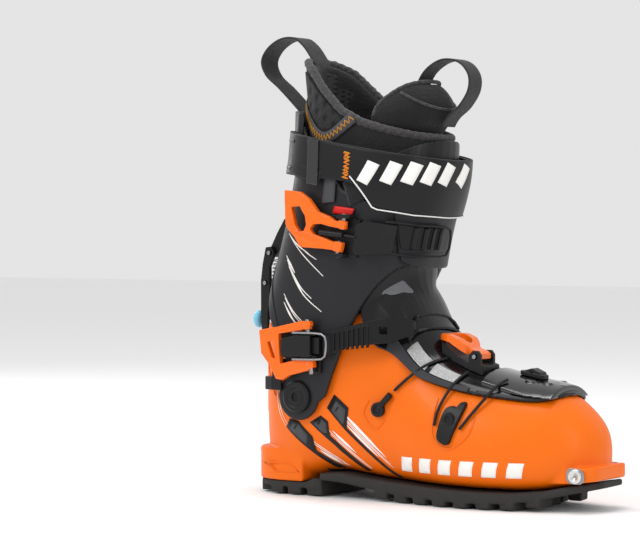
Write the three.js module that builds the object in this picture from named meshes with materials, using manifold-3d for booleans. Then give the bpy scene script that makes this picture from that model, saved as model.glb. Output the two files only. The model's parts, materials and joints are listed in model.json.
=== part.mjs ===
// An alpine touring boot for the right foot, closed and standing in ski stance.
// Millimetres. X points to the toe, Y to the inner side of the foot, Z up.
import * as THREE from "three";
import { mergeVertices } from "three/addons/utils/BufferGeometryUtils.js";
import Module from "manifold-3d";

// ---------------------------------------------------------------- driving dimensions
const SOLE_HALF = 152; // half of the 304 mm sole length
const SHELL_HALF = 147; // half length of the shell above its ledges
const SHELL_WALL = 4;
const PIVOT = { x: -91, z: 77 }; // cuff hinge line, parallel to Y
const CUFF_WALL = 3.2;
const GAP = 0.5; // clearance between pieces that touch on the real boot
const LEAN = 0.21; // forward lean of the leg, radians
const TURN = 2 * Math.PI;

const wasm = await Module();
wasm.setup();

// ---------------------------------------------------------------- materials
function finish(color, roughness, metalness = 0) {
  return new THREE.MeshStandardMaterial({ color, roughness, metalness });
}
const ORANGE = finish(0xf06a12, 0.38);
const ORANGE_METAL = finish(0xf08a1c, 0.35, 0.5);
const BLACK = finish(0x26272b, 0.5);
const GLOSS = finish(0x101114, 0.18);
const CHARCOAL = finish(0x3b3b3e, 0.7);
const RUBBER = finish(0x2c2b2a, 0.85);
const FABRIC = finish(0x1c1c1e, 0.95);
const WEBBING = finish(0x303134, 0.85);
const GREY = finish(0x6f7072, 0.6);
const STEEL = finish(0xb8babd, 0.3, 1);
const DARK_STEEL = finish(0x3c3a3c, 0.4, 0.8);
const BLUE = finish(0x86c3dc, 0.4);

// ---------------------------------------------------------------- shape helpers
// A three.js geometry as a manifold-3d solid whose faces point out.
function solid(geometry) {
  const bare = new THREE.BufferGeometry();
  bare.setAttribute("position", geometry.getAttribute("position").clone());
  if (geometry.index) {
    bare.setIndex(geometry.index.clone());
  }
  const merged = mergeVertices(bare, 1e-4);
  const triVerts = new Uint32Array(merged.index.array);
  const vertProperties = merged.attributes.position.array;
  const made = new wasm.Manifold(new wasm.Mesh({ numProp: 3, vertProperties, triVerts }));
  if (made.volume() >= 0) {
    return made;
  }
  for (let i = 0; i < triVerts.length; i += 3) {
    [triVerts[i + 1], triVerts[i + 2]] = [triVerts[i + 2], triVerts[i + 1]];
  }
  return new wasm.Manifold(new wasm.Mesh({ numProp: 3, vertProperties, triVerts }));
}

function geometryOf(made) {
  const data = made.getMesh();
  const geometry = new THREE.BufferGeometry();
  geometry.setAttribute("position", new THREE.BufferAttribute(data.vertProperties, 3));
  geometry.setIndex(new THREE.BufferAttribute(data.triVerts, 1));
  geometry.computeVertexNormals();
  return geometry;
}

function add(group, name, made, material) {
  const mesh = new THREE.Mesh(geometryOf(made), material);
  mesh.name = name;
  group.add(mesh);
  return mesh;
}

function union(...pieces) {
  return pieces.reduce((whole, piece) => whole.add(piece));
}

// A smooth function of x through the rows [x, value, value, ...] of a table; column picks the value.
function along(table, column = 1) {
  return (x) => {
    const last = table.length - 1;
    const held = Math.min(Math.max(x, table[0][0]), table[last][0]);
    let i = 0;
    while (i < last - 1 && table[i + 1][0] < held) {
      i += 1;
    }
    const slope = (k) => {
      const before = table[Math.max(k - 1, 0)];
      const after = table[Math.min(k + 1, last)];
      return (after[column] - before[column]) / (after[0] - before[0]);
    };
    const [a, b] = [table[i], table[i + 1]];
    const span = b[0] - a[0];
    const t = (held - a[0]) / span;
    const [m0, m1] = [slope(i) * span, slope(i + 1) * span];
    return (
      a[column] * (2 * t ** 3 - 3 * t ** 2 + 1) +
      m0 * (t ** 3 - 2 * t ** 2 + t) +
      b[column] * (3 * t ** 2 - 2 * t ** 3) +
      m1 * (t ** 3 - t ** 2)
    );
  };
}

// A closed skin over rings: place(station, angle) gives each point, the end rings are capped flat.
function skin(stations, sides, place) {
  const geometry = new THREE.CylinderGeometry(1, 1, 1, sides, stations.length - 1);
  const points = geometry.attributes.position;
  const rings = stations.map((station) => {
    const ring = [];
    for (let k = 0; k < sides; k += 1) {
      ring.push(place(station, (k / sides) * TURN));
    }
    return ring;
  });
  const middles = rings.map((ring) => {
    const sum = ring.reduce((total, point) => total.add(point), new THREE.Vector3());
    return sum.divideScalar(sides);
  });
  for (let i = 0; i < points.count; i += 1) {
    const row = Math.round((points.getY(i) + 0.5) * (stations.length - 1));
    const turn = Math.atan2(points.getX(i), points.getZ(i)) / TURN;
    const k = (Math.round(turn * sides) + sides) % sides;
    const onAxis = Math.hypot(points.getX(i), points.getZ(i)) < 0.5;
    const target = onAxis ? middles[row] : rings[row][k];
    points.setXYZ(i, target.x, target.y, target.z);
  }
  return solid(geometry);
}

function power(value, exponent) {
  return Math.sign(value) * Math.abs(value) ** exponent;
}

// A flat outline through the points, wound anticlockwise, with an optional hole.
function shapeOf(points, hole = []) {
  const outline = points.map(([x, y]) => new THREE.Vector2(x, y));
  if (THREE.ShapeUtils.isClockWise(outline)) {
    outline.reverse();
  }
  const shape = new THREE.Shape(outline);
  if (hole.length > 0) {
    shape.holes.push(new THREE.Path(hole.map(([x, y]) => new THREE.Vector2(x, y))));
  }
  return shape;
}

function extrusion(shape, depth) {
  return new THREE.ExtrudeGeometry(shape, { depth, bevelEnabled: false, curveSegments: 6 });
}

// An outline in the X-Z plane made solid from yLow to yHigh.
function sideSlab(shape, yLow, yHigh) {
  const geometry = extrusion(shape, yHigh - yLow);
  geometry.rotateX(Math.PI / 2);
  geometry.translate(0, yHigh, 0);
  return solid(geometry);
}

// An outline in the X-Y plane made solid from zLow to zHigh.
function planSlab(shape, zLow, zHigh) {
  const geometry = extrusion(shape, zHigh - zLow);
  geometry.translate(0, 0, zLow);
  return solid(geometry);
}

// An outline in the Y-Z plane made solid from xLow to xHigh.
function frontSlab(shape, xLow, xHigh) {
  const geometry = extrusion(shape, xHigh - xLow);
  geometry.rotateX(Math.PI / 2);
  geometry.rotateZ(Math.PI / 2);
  geometry.translate(xLow, 0, 0);
  return solid(geometry);
}

function block(low, high) {
  const size = high.map((value, i) => value - low[i]);
  const geometry = new THREE.BoxGeometry(...size);
  geometry.translate(...low.map((value, i) => value + size[i] / 2));
  return solid(geometry);
}

// A round bar between two points.
function peg(from, to, radius, sides = 12, farRadius = radius) {
  const [a, b] = [new THREE.Vector3(...from), new THREE.Vector3(...to)];
  const way = b.clone().sub(a);
  const geometry = new THREE.CylinderGeometry(farRadius, radius, way.length(), sides);
  const turn = new THREE.Quaternion().setFromUnitVectors(new THREE.Vector3(0, 1, 0), way.clone().normalize());
  geometry.applyQuaternion(turn);
  const middle = a.add(b).multiplyScalar(0.5);
  geometry.translate(middle.x, middle.y, middle.z);
  return solid(geometry);
}

// A round wire, cable or cord along hand-picked points.
function wire(points, radius, steps, closed = false, sides = 8) {
  const route = new THREE.CatmullRomCurve3(
    points.map((point) => new THREE.Vector3(...point)),
    closed,
    "centripetal",
  );
  const section = new THREE.Shape();
  for (let k = 0; k < sides; k += 1) {
    const angle = (k / sides) * TURN;
    const [x, y] = [radius * Math.cos(angle), radius * Math.sin(angle)];
    if (k === 0) {
      section.moveTo(x, y);
    } else {
      section.lineTo(x, y);
    }
  }
  section.closePath();
  return solid(new THREE.ExtrudeGeometry(section, { steps, extrudePath: route, bevelEnabled: false }));
}

// A turned piece: rows [radius, height] along an axis from point towards direction.
function turned(rows, point, direction, sides = 20) {
  const geometry = new THREE.LatheGeometry(
    rows.map(([radius, height]) => new THREE.Vector2(radius, height)),
    sides,
  );
  const turn = new THREE.Quaternion().setFromUnitVectors(
    new THREE.Vector3(0, 1, 0),
    new THREE.Vector3(...direction).normalize(),
  );
  geometry.applyQuaternion(turn);
  geometry.translate(...point);
  return solid(geometry);
}

// ---------------------------------------------------------------- the foot's form
// Rows: x, half width, middle y, lowest z, z of the widest line, crest z, roundness of the upper half.
const FOOT = [
  [-147, 0.6, 0, 12, 60, 205, 3.2],
  [-145, 11.5, 0, 11, 60, 215, 3.2],
  [-141, 20, 0, 10, 60, 222, 3.2],
  [-134, 28.5, 0, 10, 60, 226, 3.2],
  [-125, 35.5, 0, 10, 60, 228, 3.2],
  [-112, 42, 0, 10, 62, 228, 3.2],
  [-98, 46.2, 0, 12, 64, 226, 3.2],
  [-82, 46.8, 0, 17, 64, 222, 3.2],
  [-66, 45.8, 0, 19, 62, 214, 3.1],
  [-50, 44.5, 0, 17.6, 60, 203, 3],
  [-36, 44, 0, 16, 57, 188, 3],
  [-24, 44.3, 0, 15, 54, 175, 2.9],
  [-14, 45, 0, 14.5, 52, 165, 2.8],
  [-6, 45.8, 0, 14, 50, 154, 2.6],
  [-1, 46.5, 0, 13.8, 48, 144, 2.4],
  [3, 47.2, 0, 13.5, 46, 135.5, 2.3],
  [9, 48.3, 0, 13.2, 44, 126, 2.2],
  [18, 50, 0, 13, 42, 116, 2.2],
  [30, 52, 0.3, 12.6, 39, 107.5, 2.2],
  [44, 53.3, 0.8, 12.2, 37, 101, 2.2],
  [58, 53.5, 1.4, 12, 36, 96.6, 2.2],
  [74, 52.3, 2.2, 12, 36, 93, 2.2],
  [90, 49.3, 3, 12.2, 36, 89.8, 2.2],
  [104, 45, 3.6, 13.2, 37, 87.3, 2.2],
  [115, 40.5, 4, 14.8, 38, 84.2, 2.3],
  [124, 35.5, 4.4, 16.5, 39, 78.5, 2.3],
  [132, 29.8, 4.7, 18.4, 40, 71.5, 2.4],
  [138, 24, 4.9, 20, 40, 65, 2.5],
  [143, 16.5, 5, 21.3, 40, 57.5, 2.5],
  [146, 8.5, 5, 22, 40, 50.5, 2.5],
  [147, 0.6, 5, 22.4, 40, 46, 2.5],
];
const footWidth = along(FOOT, 1);
const footMiddle = along(FOOT, 2);
const footBottom = along(FOOT, 3);
const footWidest = along(FOOT, 4);
const footCrest = along(FOOT, 5);
const footRound = along(FOOT, 6);
const LOW_ROUND = 3.6; // roundness of the lower half
const HALF_WIDTH = 50; // width at which an inset is exact

// The foot form drawn in by inset, or swollen by a negative one; floor lifts its underside.
function footForm(inset, sides, every = 1, floor = inset) {
  const stations = FOOT.map((row) => row[0]).filter((x, i) => i % every === 0 || i === FOOT.length - 1);
  const stretch = (SHELL_HALF - inset) / SHELL_HALF;
  return skin(stations, sides, (x, angle) => {
    const [c, s] = [Math.cos(angle), Math.sin(angle)];
    const round = s >= 0 ? footRound(x) : LOW_ROUND;
    const middle = footWidest(x);
    const bottom = footBottom(x) + floor;
    const rise = s >= 0 ? footCrest(x) - inset - middle : middle - bottom;
    const z = middle + rise * power(s, 2 / round);
    const share = THREE.MathUtils.smoothstep(z, bottom, middle);
    const narrow = THREE.MathUtils.lerp(x < -60 ? 0.84 : 0.88, 1, share);
    const half = footWidth(x) * (1 - inset / HALF_WIDTH) * narrow;
    const y = footMiddle(x) + half * power(c, 2 / round);
    return new THREE.Vector3(x * stretch, y, z);
  });
}

// The shell's rim as seen from the side, from the heel's spine over the ankle wings to the toe.
const RIM = [
  [-175, 132],
  [-141, 132],
  [-131, 129],
  [-112, 121],
  [-84, 122],
  [-50, 138],
  [-9, 156],
  [9, 118],
  [18, 107],
  [30, 98.5],
  [54, 90],
  [83, 85.5],
  [103, 83.5],
  [112, 84.5],
  [115, 90],
];

// Everything above the rim, moved along the surface by lift.
function aboveRim(lift) {
  const points = RIM.map(([x, z]) => [x, z + lift]);
  return sideSlab(shapeOf([...points, [115, 300], [-175, 300]]), -80, 80);
}

// ---------------------------------------------------------------- the leg's form
// Rows: z, middle x, half depth, half width, roundness.
const LEG = [
  [45, -93, 62, 51.6, 3.2],
  [77, -90, 64, 51.6, 3.2],
  [110, -83.5, 65, 51.6, 3.1],
  [140, -77, 65, 51.4, 3],
  [159, -72.5, 65, 51.2, 2.8],
  [182, -67, 65, 50.8, 2.6],
  [200, -62.5, 65, 50.6, 2.5],
  [215, -58.5, 65, 50.6, 2.5],
  [230, -54.5, 65.5, 50.6, 2.5],
  [246, -51, 66, 50.4, 2.5],
  [262, -48.5, 66, 50, 2.4],
  [285, -48, 66, 49.4, 2.3],
  [305, -50, 65, 48.6, 2.2],
  [345, -56, 63.5, 47.5, 2.2],
];
const LEG_SIDES = 26;
const legMiddle = along(LEG, 1);
const legDepth = along(LEG, 2);
const legWidth = along(LEG, 3);
const legRound = along(LEG, 4);

// The leg form drawn in by inset between two heights.
function legForm(inset, sides, low, high) {
  const between = LEG.map((row) => row[0]).filter((z) => z > low + 3 && z < high - 3);
  return skin([low, ...between, high], sides, (z, angle) => {
    const round = legRound(z);
    const x = legMiddle(z) + (legDepth(z) - inset) * power(Math.cos(angle), 2 / round);
    const y = (legWidth(z) - inset) * power(Math.sin(angle), 2 / round);
    return new THREE.Vector3(x, y, z);
  });
}

// A wall around the leg between two insets.
function legWall(outer, inner, sides, low, high) {
  return legForm(outer, sides, low, high).subtract(legForm(inner, sides, low - 2, high + 2));
}

const boot = new THREE.Group();
const foot = new THREE.Group(); // everything fixed to the lower shell
const leg = new THREE.Group(); // everything that turns on the cuff pivots
boot.add(foot, leg);

// ---------------------------------------------------------------- lower shell and soles
function ledgePlan(back, front, half, corner, centre = 0) {
  const [low, high] = [centre - half, centre + half];
  const shape = new THREE.Shape();
  shape.moveTo(back + corner, low);
  shape.lineTo(front - corner, low);
  shape.quadraticCurveTo(front, low, front, low + corner);
  shape.lineTo(front, high - corner);
  shape.quadraticCurveTo(front, high, front - corner, high);
  shape.lineTo(back + corner, high);
  shape.quadraticCurveTo(back, high, back, high - corner);
  shape.lineTo(back, low + corner);
  shape.quadraticCurveTo(back, low, back + corner, low);
  return shape;
}

const TOE_LEDGE = { back: 118, bottom: 17, top: 31, half: 30.5, middle: 4 };
const HEEL_LEDGE = { front: -96, bottom: 10, top: 35, half: 38 };

function heelPlan(grow, front) {
  const shape = new THREE.Shape();
  const radius = HEEL_LEDGE.half + grow;
  const centre = -SOLE_HALF + HEEL_LEDGE.half + 2;
  shape.moveTo(front, radius);
  shape.lineTo(centre, radius);
  shape.bezierCurveTo(centre - 24, radius, -SOLE_HALF - grow, radius * 0.72, -SOLE_HALF - grow, 0);
  shape.bezierCurveTo(-SOLE_HALF - grow, -radius * 0.72, centre - 24, -radius, centre, -radius);
  shape.lineTo(front, -radius);
  return shape;
}

function toeLedge() {
  const plan = ledgePlan(TOE_LEDGE.back - 30, SOLE_HALF, TOE_LEDGE.half, 13, TOE_LEDGE.middle);
  const ledge = planSlab(plan, TOE_LEDGE.bottom, TOE_LEDGE.top + 4);
  const side = shapeOf([
    [TOE_LEDGE.back - 32, 17],
    [136, 20.5],
    [SOLE_HALF + 2, 23],
    [SOLE_HALF + 2, 33.5],
    [TOE_LEDGE.back, 29.5],
    [TOE_LEDGE.back - 32, 27],
  ]);
  return ledge.intersect(sideSlab(side, -60, 60));
}

const heelLedge = planSlab(heelPlan(0, HEEL_LEDGE.front), HEEL_LEDGE.bottom, HEEL_LEDGE.top);
const heelSlot = block([-160, -8.3, 12], [-147.5, 8.3, 33.3]);
const spineRidge = planSlab(ledgePlan(-148.8, -120, 13, 4), 60, 121);
const armNotch = block([-160, -14, 120], [-128, 14, 140]);
const cavity = footForm(SHELL_WALL, 18, 2, 7);
const pivotBore = peg([PIVOT.x, -80, PIVOT.z], [PIVOT.x, 80, PIVOT.z], 6.4, 24);
const shellBody = footForm(0, 26)
  .add(heelLedge)
  .add(toeLedge())
  .add(spineRidge)
  .subtract(cavity)
  .subtract(aboveRim(0))
  .subtract(armNotch)
  .subtract(heelSlot)
  .subtract(pivotBore);
add(foot, "lower_shell", shellBody, ORANGE);

// The rubber under the shell follows its underside and stands on lugs.
function soleTop(x) {
  return footBottom(x) - GAP;
}

const TREAD = [
  [-90, 13],
  [-70, 12.5],
  [-52, 11],
  [-30, 7.5],
  [-8, 5],
  [20, 4],
  [80, 4],
  [105, 7],
  [128, 12],
  [152.5, 18],
];
const treadAt = along(TREAD, 1);

function forefootSole() {
  const front = [-78, -60, -40, -20, 5, 30, 60, 90, 112, 132, 152];
  const top = front.map((x) => [x, Math.min(soleTop(Math.min(x, 146.5)), 21.6)]);
  const under = front.map((x) => [x, treadAt(x)]).reverse();
  const side = sideSlab(shapeOf([...top, ...under]), -70, 70);
  const edge = [-78, -60, -40, -20, 0, 20, 45, 65, 85, 102, 116, 128, 138, 146, 151, 152.4];
  const outline = new THREE.Shape();
  const reach = (x) => (x > 116 ? Math.max(footWidth(Math.min(x - 5, 143)) * 0.88, 14) : footWidth(x) * 0.87);
  edge.forEach((x, i) => {
    const y = footMiddle(x) - reach(x);
    if (i === 0) {
      outline.moveTo(x, y);
    } else {
      outline.lineTo(x, y);
    }
  });
  [...edge].reverse().forEach((x) => outline.lineTo(x, footMiddle(x) + reach(x)));
  return planSlab(outline, -5, 30).intersect(side);
}

function lugs(list, low) {
  return list.map(([x, y, length, width, slant]) => {
    const shape = shapeOf([
      [x - length / 2 - slant, y - width / 2],
      [x + length / 2 - slant, y - width / 2],
      [x + length / 2 + slant, y + width / 2],
      [x - length / 2 + slant, y + width / 2],
    ]);
    return planSlab(shape, low(x), treadAt(x) + 1.5);
  });
}

function forefootLugs() {
  const rows = [];
  for (let i = 0; i < 8; i += 1) {
    const x = -22 + i * 18.5;
    const half = footWidth(x) * 0.87;
    rows.push([x, footMiddle(x) - half + 8.3, 10.5, 16, 1.5]);
    rows.push([x, footMiddle(x) + half - 8.3, 10.5, 16, -1.5]);
    if (i > 0 && i < 7) {
      rows.push([x + 8, footMiddle(x), 9, 22, 2]);
    }
  }
  return lugs(rows, (x) => Math.max(0, treadAt(x) - 5));
}

add(foot, "outsole_forefoot", union(forefootSole(), ...forefootLugs()), RUBBER);

function heelSole() {
  const plate = planSlab(heelPlan(-1, -80), 5, HEEL_LEDGE.bottom - GAP);
  const wedge = sideSlab(
    shapeOf([
      [-95.4, 5],
      [-79, 0],
      [-79, 12.3],
      [-86, 13.2],
      [-95.4, 9.4],
    ]),
    -36.5,
    36.5,
  );
  const blocks = [];
  for (const y of [-1, 1]) {
    for (let i = 0; i < 3; i += 1) {
      const x = -139 + i * 17;
      const inset = i === 0 ? 12 : 0;
      blocks.push(block([x - 6, y > 0 ? 18 : -37 + inset, 0], [x + 6, y > 0 ? 37 - inset : -18, 6]));
    }
  }
  const bar = block([-93, -36.5, 0], [-79, 36.5, 6]);
  const centre = block([-148, -10, 0], [-120, 10, 6]);
  const back = block([-152, -24, 3], [-143, 24, 6]);
  return union(plate, wedge, bar, centre, back, ...blocks).intersect(planSlab(heelPlan(-1, -79), -1, 20));
}

add(foot, "outsole_heel", heelSole().subtract(footForm(-GAP, 22, 2)), RUBBER);

// Metal fittings for a pin binding.
const heelPlate = frontSlab(
  shapeOf([
    [-14, 32.5],
    [-14, 29.5],
    [-8.5, 27],
    [-5.5, 12.8],
    [5.5, 12.8],
    [8.5, 27],
    [14, 29.5],
    [14, 32.5],
  ]),
  -154,
  -152.4,
);
const heelCore = block([-152.6, -7.5, 13], [-148, 7.5, 32.5]);
const heelGrooves = union(block([-155, -4.6, 12], [-151.5, -3, 24]), block([-155, 3, 12], [-151.5, 4.6, 24]));
add(foot, "heel_tech_insert", heelPlate.add(heelCore).subtract(heelGrooves), STEEL);
// Each pair is a radius and a height along the screw.
const screwProfile = [
  [0, 0],
  [4.2, 0],
  [4.2, 0.8],
  [2.4, 1.6],
  [1.6, 1.6],
  [1.2, 0.9],
  [0, 0.9],
];
add(foot, "heel_insert_screw", turned(screwProfile, [-154.3, 0, 27.5], [-1, 0, 0], 16), STEEL);

function toeInsert(side) {
  const y = TOE_LEDGE.middle + side * (TOE_LEDGE.half + 0.3);
  return turned(
    [[0, 0], [5.6, 0], [5.6, 1.1], [5, 1.6], [3.2, 1.6], [1.2, 0.4], [0, 0.4]],
    [138, y, 26.2],
    [0, side, 0],
    18,
  );
}
add(foot, "toe_insert_lateral", toeInsert(-1), STEEL);
add(foot, "toe_insert_medial", toeInsert(1), STEEL);

// ---------------------------------------------------------------- inside the shell
const LINER_INSET = SHELL_WALL + 1.8;
const LINER_THICK = 5;
const LINER_REACH = 71; // how far the foot liner reaches from the cuff pivot
const LEG_CLEAR = 7; // the foot liner stays this far inside the cuff's surface

// A flat layer across the inside of the shell.
function layer(low, high, inset) {
  return footForm(inset, 18, 2, 8).intersect(planSlab(ledgePlan(-134, 130, 60, 5), low, high));
}

function ankleReach(radius) {
  const shape = new THREE.Shape();
  const [from, to] = [0.86, 2.5];
  const far = 260;
  shape.moveTo(PIVOT.x + far * Math.cos(to), PIVOT.z + far * Math.sin(to));
  shape.lineTo(PIVOT.x + radius * Math.cos(to), PIVOT.z + radius * Math.sin(to));
  shape.absarc(PIVOT.x, PIVOT.z, radius, to, from, true);
  shape.lineTo(PIVOT.x + far * Math.cos(from), PIVOT.z + far * Math.sin(from));
  return sideSlab(shape, -80, 80);
}

// The foot's form, held inside the leg's form behind the ankle.
function sock(inset, legInset) {
  const low = block([-200, -80, 0], [200, 80, 118]);
  const front = block([-72, -80, 100], [200, 80, 230]);
  return footForm(inset, 18, 2, 9).intersect(union(low, front, legForm(legInset, 22, 112, 230)));
}

const linerBase = 29.3;
const belowFoot = block([-200, -80, 0], [200, 80, 34]);
const linerFoot = sock(LINER_INSET, LEG_CLEAR)
  .subtract(block([-200, -80, 0], [200, 80, linerBase]))
  .subtract(sock(LINER_INSET + LINER_THICK, LEG_CLEAR + LINER_THICK).subtract(belowFoot))
  .subtract(ankleReach(LINER_REACH));
add(foot, "bootboard", layer(25.4, linerBase - GAP, LINER_INSET + 1.5), CHARCOAL);
add(foot, "liner_foot", linerFoot, FABRIC);
add(foot, "footbed", layer(34.4, 37, LINER_INSET + LINER_THICK + 2), GREY);

// ---------------------------------------------------------------- tongue over the instep
const tongueSide = shapeOf([
  [-15, 158],
  [-6, 141],
  [5, 121],
  [14, 107],
  [28, 95],
  [53, 86.5],
  [83, 82],
  [103, 80],
  [118, 79],
  [122, 84],
  [122, 100],
  [60, 125],
  [24, 140],
  [10, 158],
]);
const tongueLower = footForm(-3, 30)
  .subtract(footForm(-GAP, 30))
  .intersect(sideSlab(tongueSide, -34, 38));
add(foot, "tongue_lower", tongueLower, BLACK);

const plateSide = shapeOf([
  [60, 88.8],
  [84, 84.5],
  [104, 82.5],
  [117, 81],
  [117, 100],
  [60, 110],
]);
const ringBumps = [
  [93, -13, 88],
  [104.5, 3, 88],
  [105, -8.5, 87],
  [104.5, 14, 87.2],
  [112, -2, 86],
].map(([x, y, z]) => peg([x, y, z], [x + 1, y - 0.5, z + 6.5], 3.6, 10));
const toePlate = footForm(-5.2, 26)
  .subtract(footForm(-3 - GAP, 26))
  .intersect(sideSlab(plateSide, -30, 34));
const bumps = union(...ringBumps).subtract(footForm(-4.2, 26));
add(foot, "toe_plate", toePlate.add(bumps), GLOSS);

// ---------------------------------------------------------------- cuff, flap, tongue and liner of the leg
const archEdge = new THREE.SplineCurve(
  [
    [-66, 78],
    [-59, 97],
    [-52, 114],
    [-46, 127],
    [-35, 148],
    [-22, 166],
    [-8, 178],
    [12, 184],
  ].map(([x, z]) => new THREE.Vector2(x, z)),
);

function cuffSide() {
  const lobe = 18.5; // radius of the round end at the pivot
  const shape = new THREE.Shape();
  shape.absarc(PIVOT.x, PIVOT.z, lobe, Math.PI * 0.68, Math.PI * 1.93, false);
  archEdge.getPoints(16).forEach((point) => shape.lineTo(point.x, point.y));
  const rest = [
    [40, 190],
    [40, 214],
    [-20, 222],
    [-50, 236],
    [-80, 264],
    [-96, 286],
    [-150, 286],
    [-150, 192],
    [-136, 188],
    [-133, 168],
    [-126, 146],
    [-119, 131],
    [-110, 122],
    [-104.6, 109],
    [-101.6, 98],
  ];
  rest.forEach(([x, z]) => shape.lineTo(x, z));
  return shape;
}

const cuffFront = -1; // the lateral and medial edges stop here under the flap
const cuff = legWall(0, CUFF_WALL, LEG_SIDES, 50, 288)
  .intersect(sideSlab(cuffSide(), -80, 80))
  .subtract(block([cuffFront, -70, 150], [60, 40, 300]))
  .subtract(block([-160, -16.5, 150], [-128, 16.5, 194]))
  .subtract(pivotBore);
add(leg, "cuff", cuff, BLACK);

const flapSide = new THREE.Shape();
flapSide.moveTo(-9, 226);
flapSide.lineTo(-9, 183);
flapSide.quadraticCurveTo(-9, 177, -3, 176);
flapSide.lineTo(30, 167);
flapSide.lineTo(30, 216);
flapSide.lineTo(-9, 226);
const flapMedial = shapeOf([
  [-34, 230],
  [-34, 184],
  [30, 167],
  [30, 216],
]);
const flapWall = legWall(-3.2, -GAP, LEG_SIDES, 160, 232);
const frontFlap = flapWall
  .intersect(sideSlab(flapSide, -80, 10))
  .add(flapWall.intersect(sideSlab(flapMedial, 9, 80)));
add(leg, "front_flap", frontFlap, BLACK);

// Toothed rack for the upper buckle's wire, round the front of the flap; it drops towards the front.
const STRAP_DROP = 0.2;
function dropped(low, high, xLow, xHigh) {
  const fall = (x) => -STRAP_DROP * (x - xLow);
  return shapeOf([
    [xLow, low],
    [xHigh, low + fall(xHigh)],
    [xHigh, high + fall(xHigh)],
    [xLow, high],
  ]);
}

function rack() {
  const baseSide = sideSlab(dropped(191, 209.5, -6, 30), -70, 12);
  const base = legWall(-5.2, -3.7, LEG_SIDES, 180, 214).intersect(baseSide);
  const teeth = [];
  for (let i = 0; i < 4; i += 1) {
    const y = -32 + i * 9;
    teeth.push(sideSlab(dropped(192, 208.5, -5, 30), y, y + 3.2));
  }
  return base.add(union(...teeth).intersect(legWall(-7.2, -5, LEG_SIDES, 180, 214)));
}
add(leg, "flap_rack", rack(), BLACK);

const tongueUpperSide = shapeOf([
  [-20, 184],
  [20, 176],
  [60, 180],
  [60, 262],
  [34, 276],
  [-4, 272],
  [-12, 240],
]);
const tongueUpper = legWall(CUFF_WALL + GAP, CUFF_WALL + GAP + 2.6, LEG_SIDES, 172, 290).intersect(
  sideSlab(tongueUpperSide, -48, 48),
);
add(leg, "tongue_upper", tongueUpper, BLACK);

const linerOut = CUFF_WALL + GAP + 2.6 + GAP;
const LINER_WALL = 9;
const linerSide = shapeOf([
  [-150, 212],
  [-60, 216],
  [60, 224],
  [60, 268],
  [0, 277],
  [-30, 280],
  [-58, 287],
  [-78, 306],
  [-96, 332],
  [-112, 341],
  [-150, 341],
]);
const linerCollar = legWall(linerOut, linerOut + LINER_WALL, LEG_SIDES, 208, 344).intersect(
  sideSlab(linerSide, -80, 80),
);
add(leg, "liner_collar", linerCollar, FABRIC);

const capSide = new THREE.Shape();
capSide.moveTo(-26, 258);
capSide.lineTo(20, 252);
capSide.lineTo(20, 300);
capSide.quadraticCurveTo(8, 316, -12, 315);
capSide.lineTo(-28, 306);
const capOut = linerOut + LINER_WALL + GAP;
const capIn = linerOut + LINER_WALL + 9;
const linerTongue = legWall(capOut, capIn, LEG_SIDES, 250, 318).intersect(sideSlab(capSide, -30, 30));
add(leg, "liner_tongue", linerTongue, FABRIC);

const spoilerSide = shapeOf([
  [-150, 262],
  [-88, 270],
  [-94, 296],
  [-150, 303],
]);
const spoiler = legWall(-3.4, -GAP, LEG_SIDES, 258, 306).intersect(sideSlab(spoilerSide, -40, 40));
add(leg, "spoiler", spoiler, BLACK);

// Rear panel inside the notch of the cuff, behind the heel tendon.
const rearPanelSide = shapeOf([
  [-160, 150],
  [-131, 150],
  [-122, 158],
  [-122, 200],
  [-160, 200],
]);
const rearPanel = legWall(CUFF_WALL + GAP, CUFF_WALL + GAP + 2, LEG_SIDES, 146, 204).intersect(
  sideSlab(rearPanelSide, -37, 37),
);
add(leg, "rear_panel", rearPanel, BLACK);

// ---------------------------------------------------------------- cuff pivots
function pivotRivet(side) {
  const rows = [
    [0, -8.6],
    [5.6, -8.6],
    [5.6, 0],
    [12.4, 0],
    [12.4, 1.8],
    [11, 3],
    [9.2, 3],
    [7, 2.2],
    [6.2, 3.2],
    [3.2, 3.2],
    [3.2, 1.2],
    [0, 1.2],
  ];
  return turned(rows, [PIVOT.x, side * 52.1, PIVOT.z], [0, side, 0], 18);
}
add(foot, "pivot_rivet_lateral", pivotRivet(-1), BLACK);
add(foot, "pivot_rivet_medial", pivotRivet(1), BLACK);

// ---------------------------------------------------------------- upper buckle, outer side of the cuff
const UPPER = { x: -46, y: -58.4, z: 201 }; // the lever's hinge
const UPPER_LINK = 22; // from that hinge back to the catch's own pivot
const leanAxis = new THREE.Vector3(Math.sin(LEAN), 0, Math.cos(LEAN));

// A peg on the axis through a point, from one distance along it to another.
function pegAlong(point, axis, from, to, radius) {
  const at = (reach) => new THREE.Vector3(point.x, point.y, point.z).addScaledVector(axis, reach).toArray();
  return peg(at(from), at(to), radius, 12);
}

function shortPin(point, axis, from, to) {
  return pegAlong(point, axis, from, to, 1.8);
}

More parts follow.
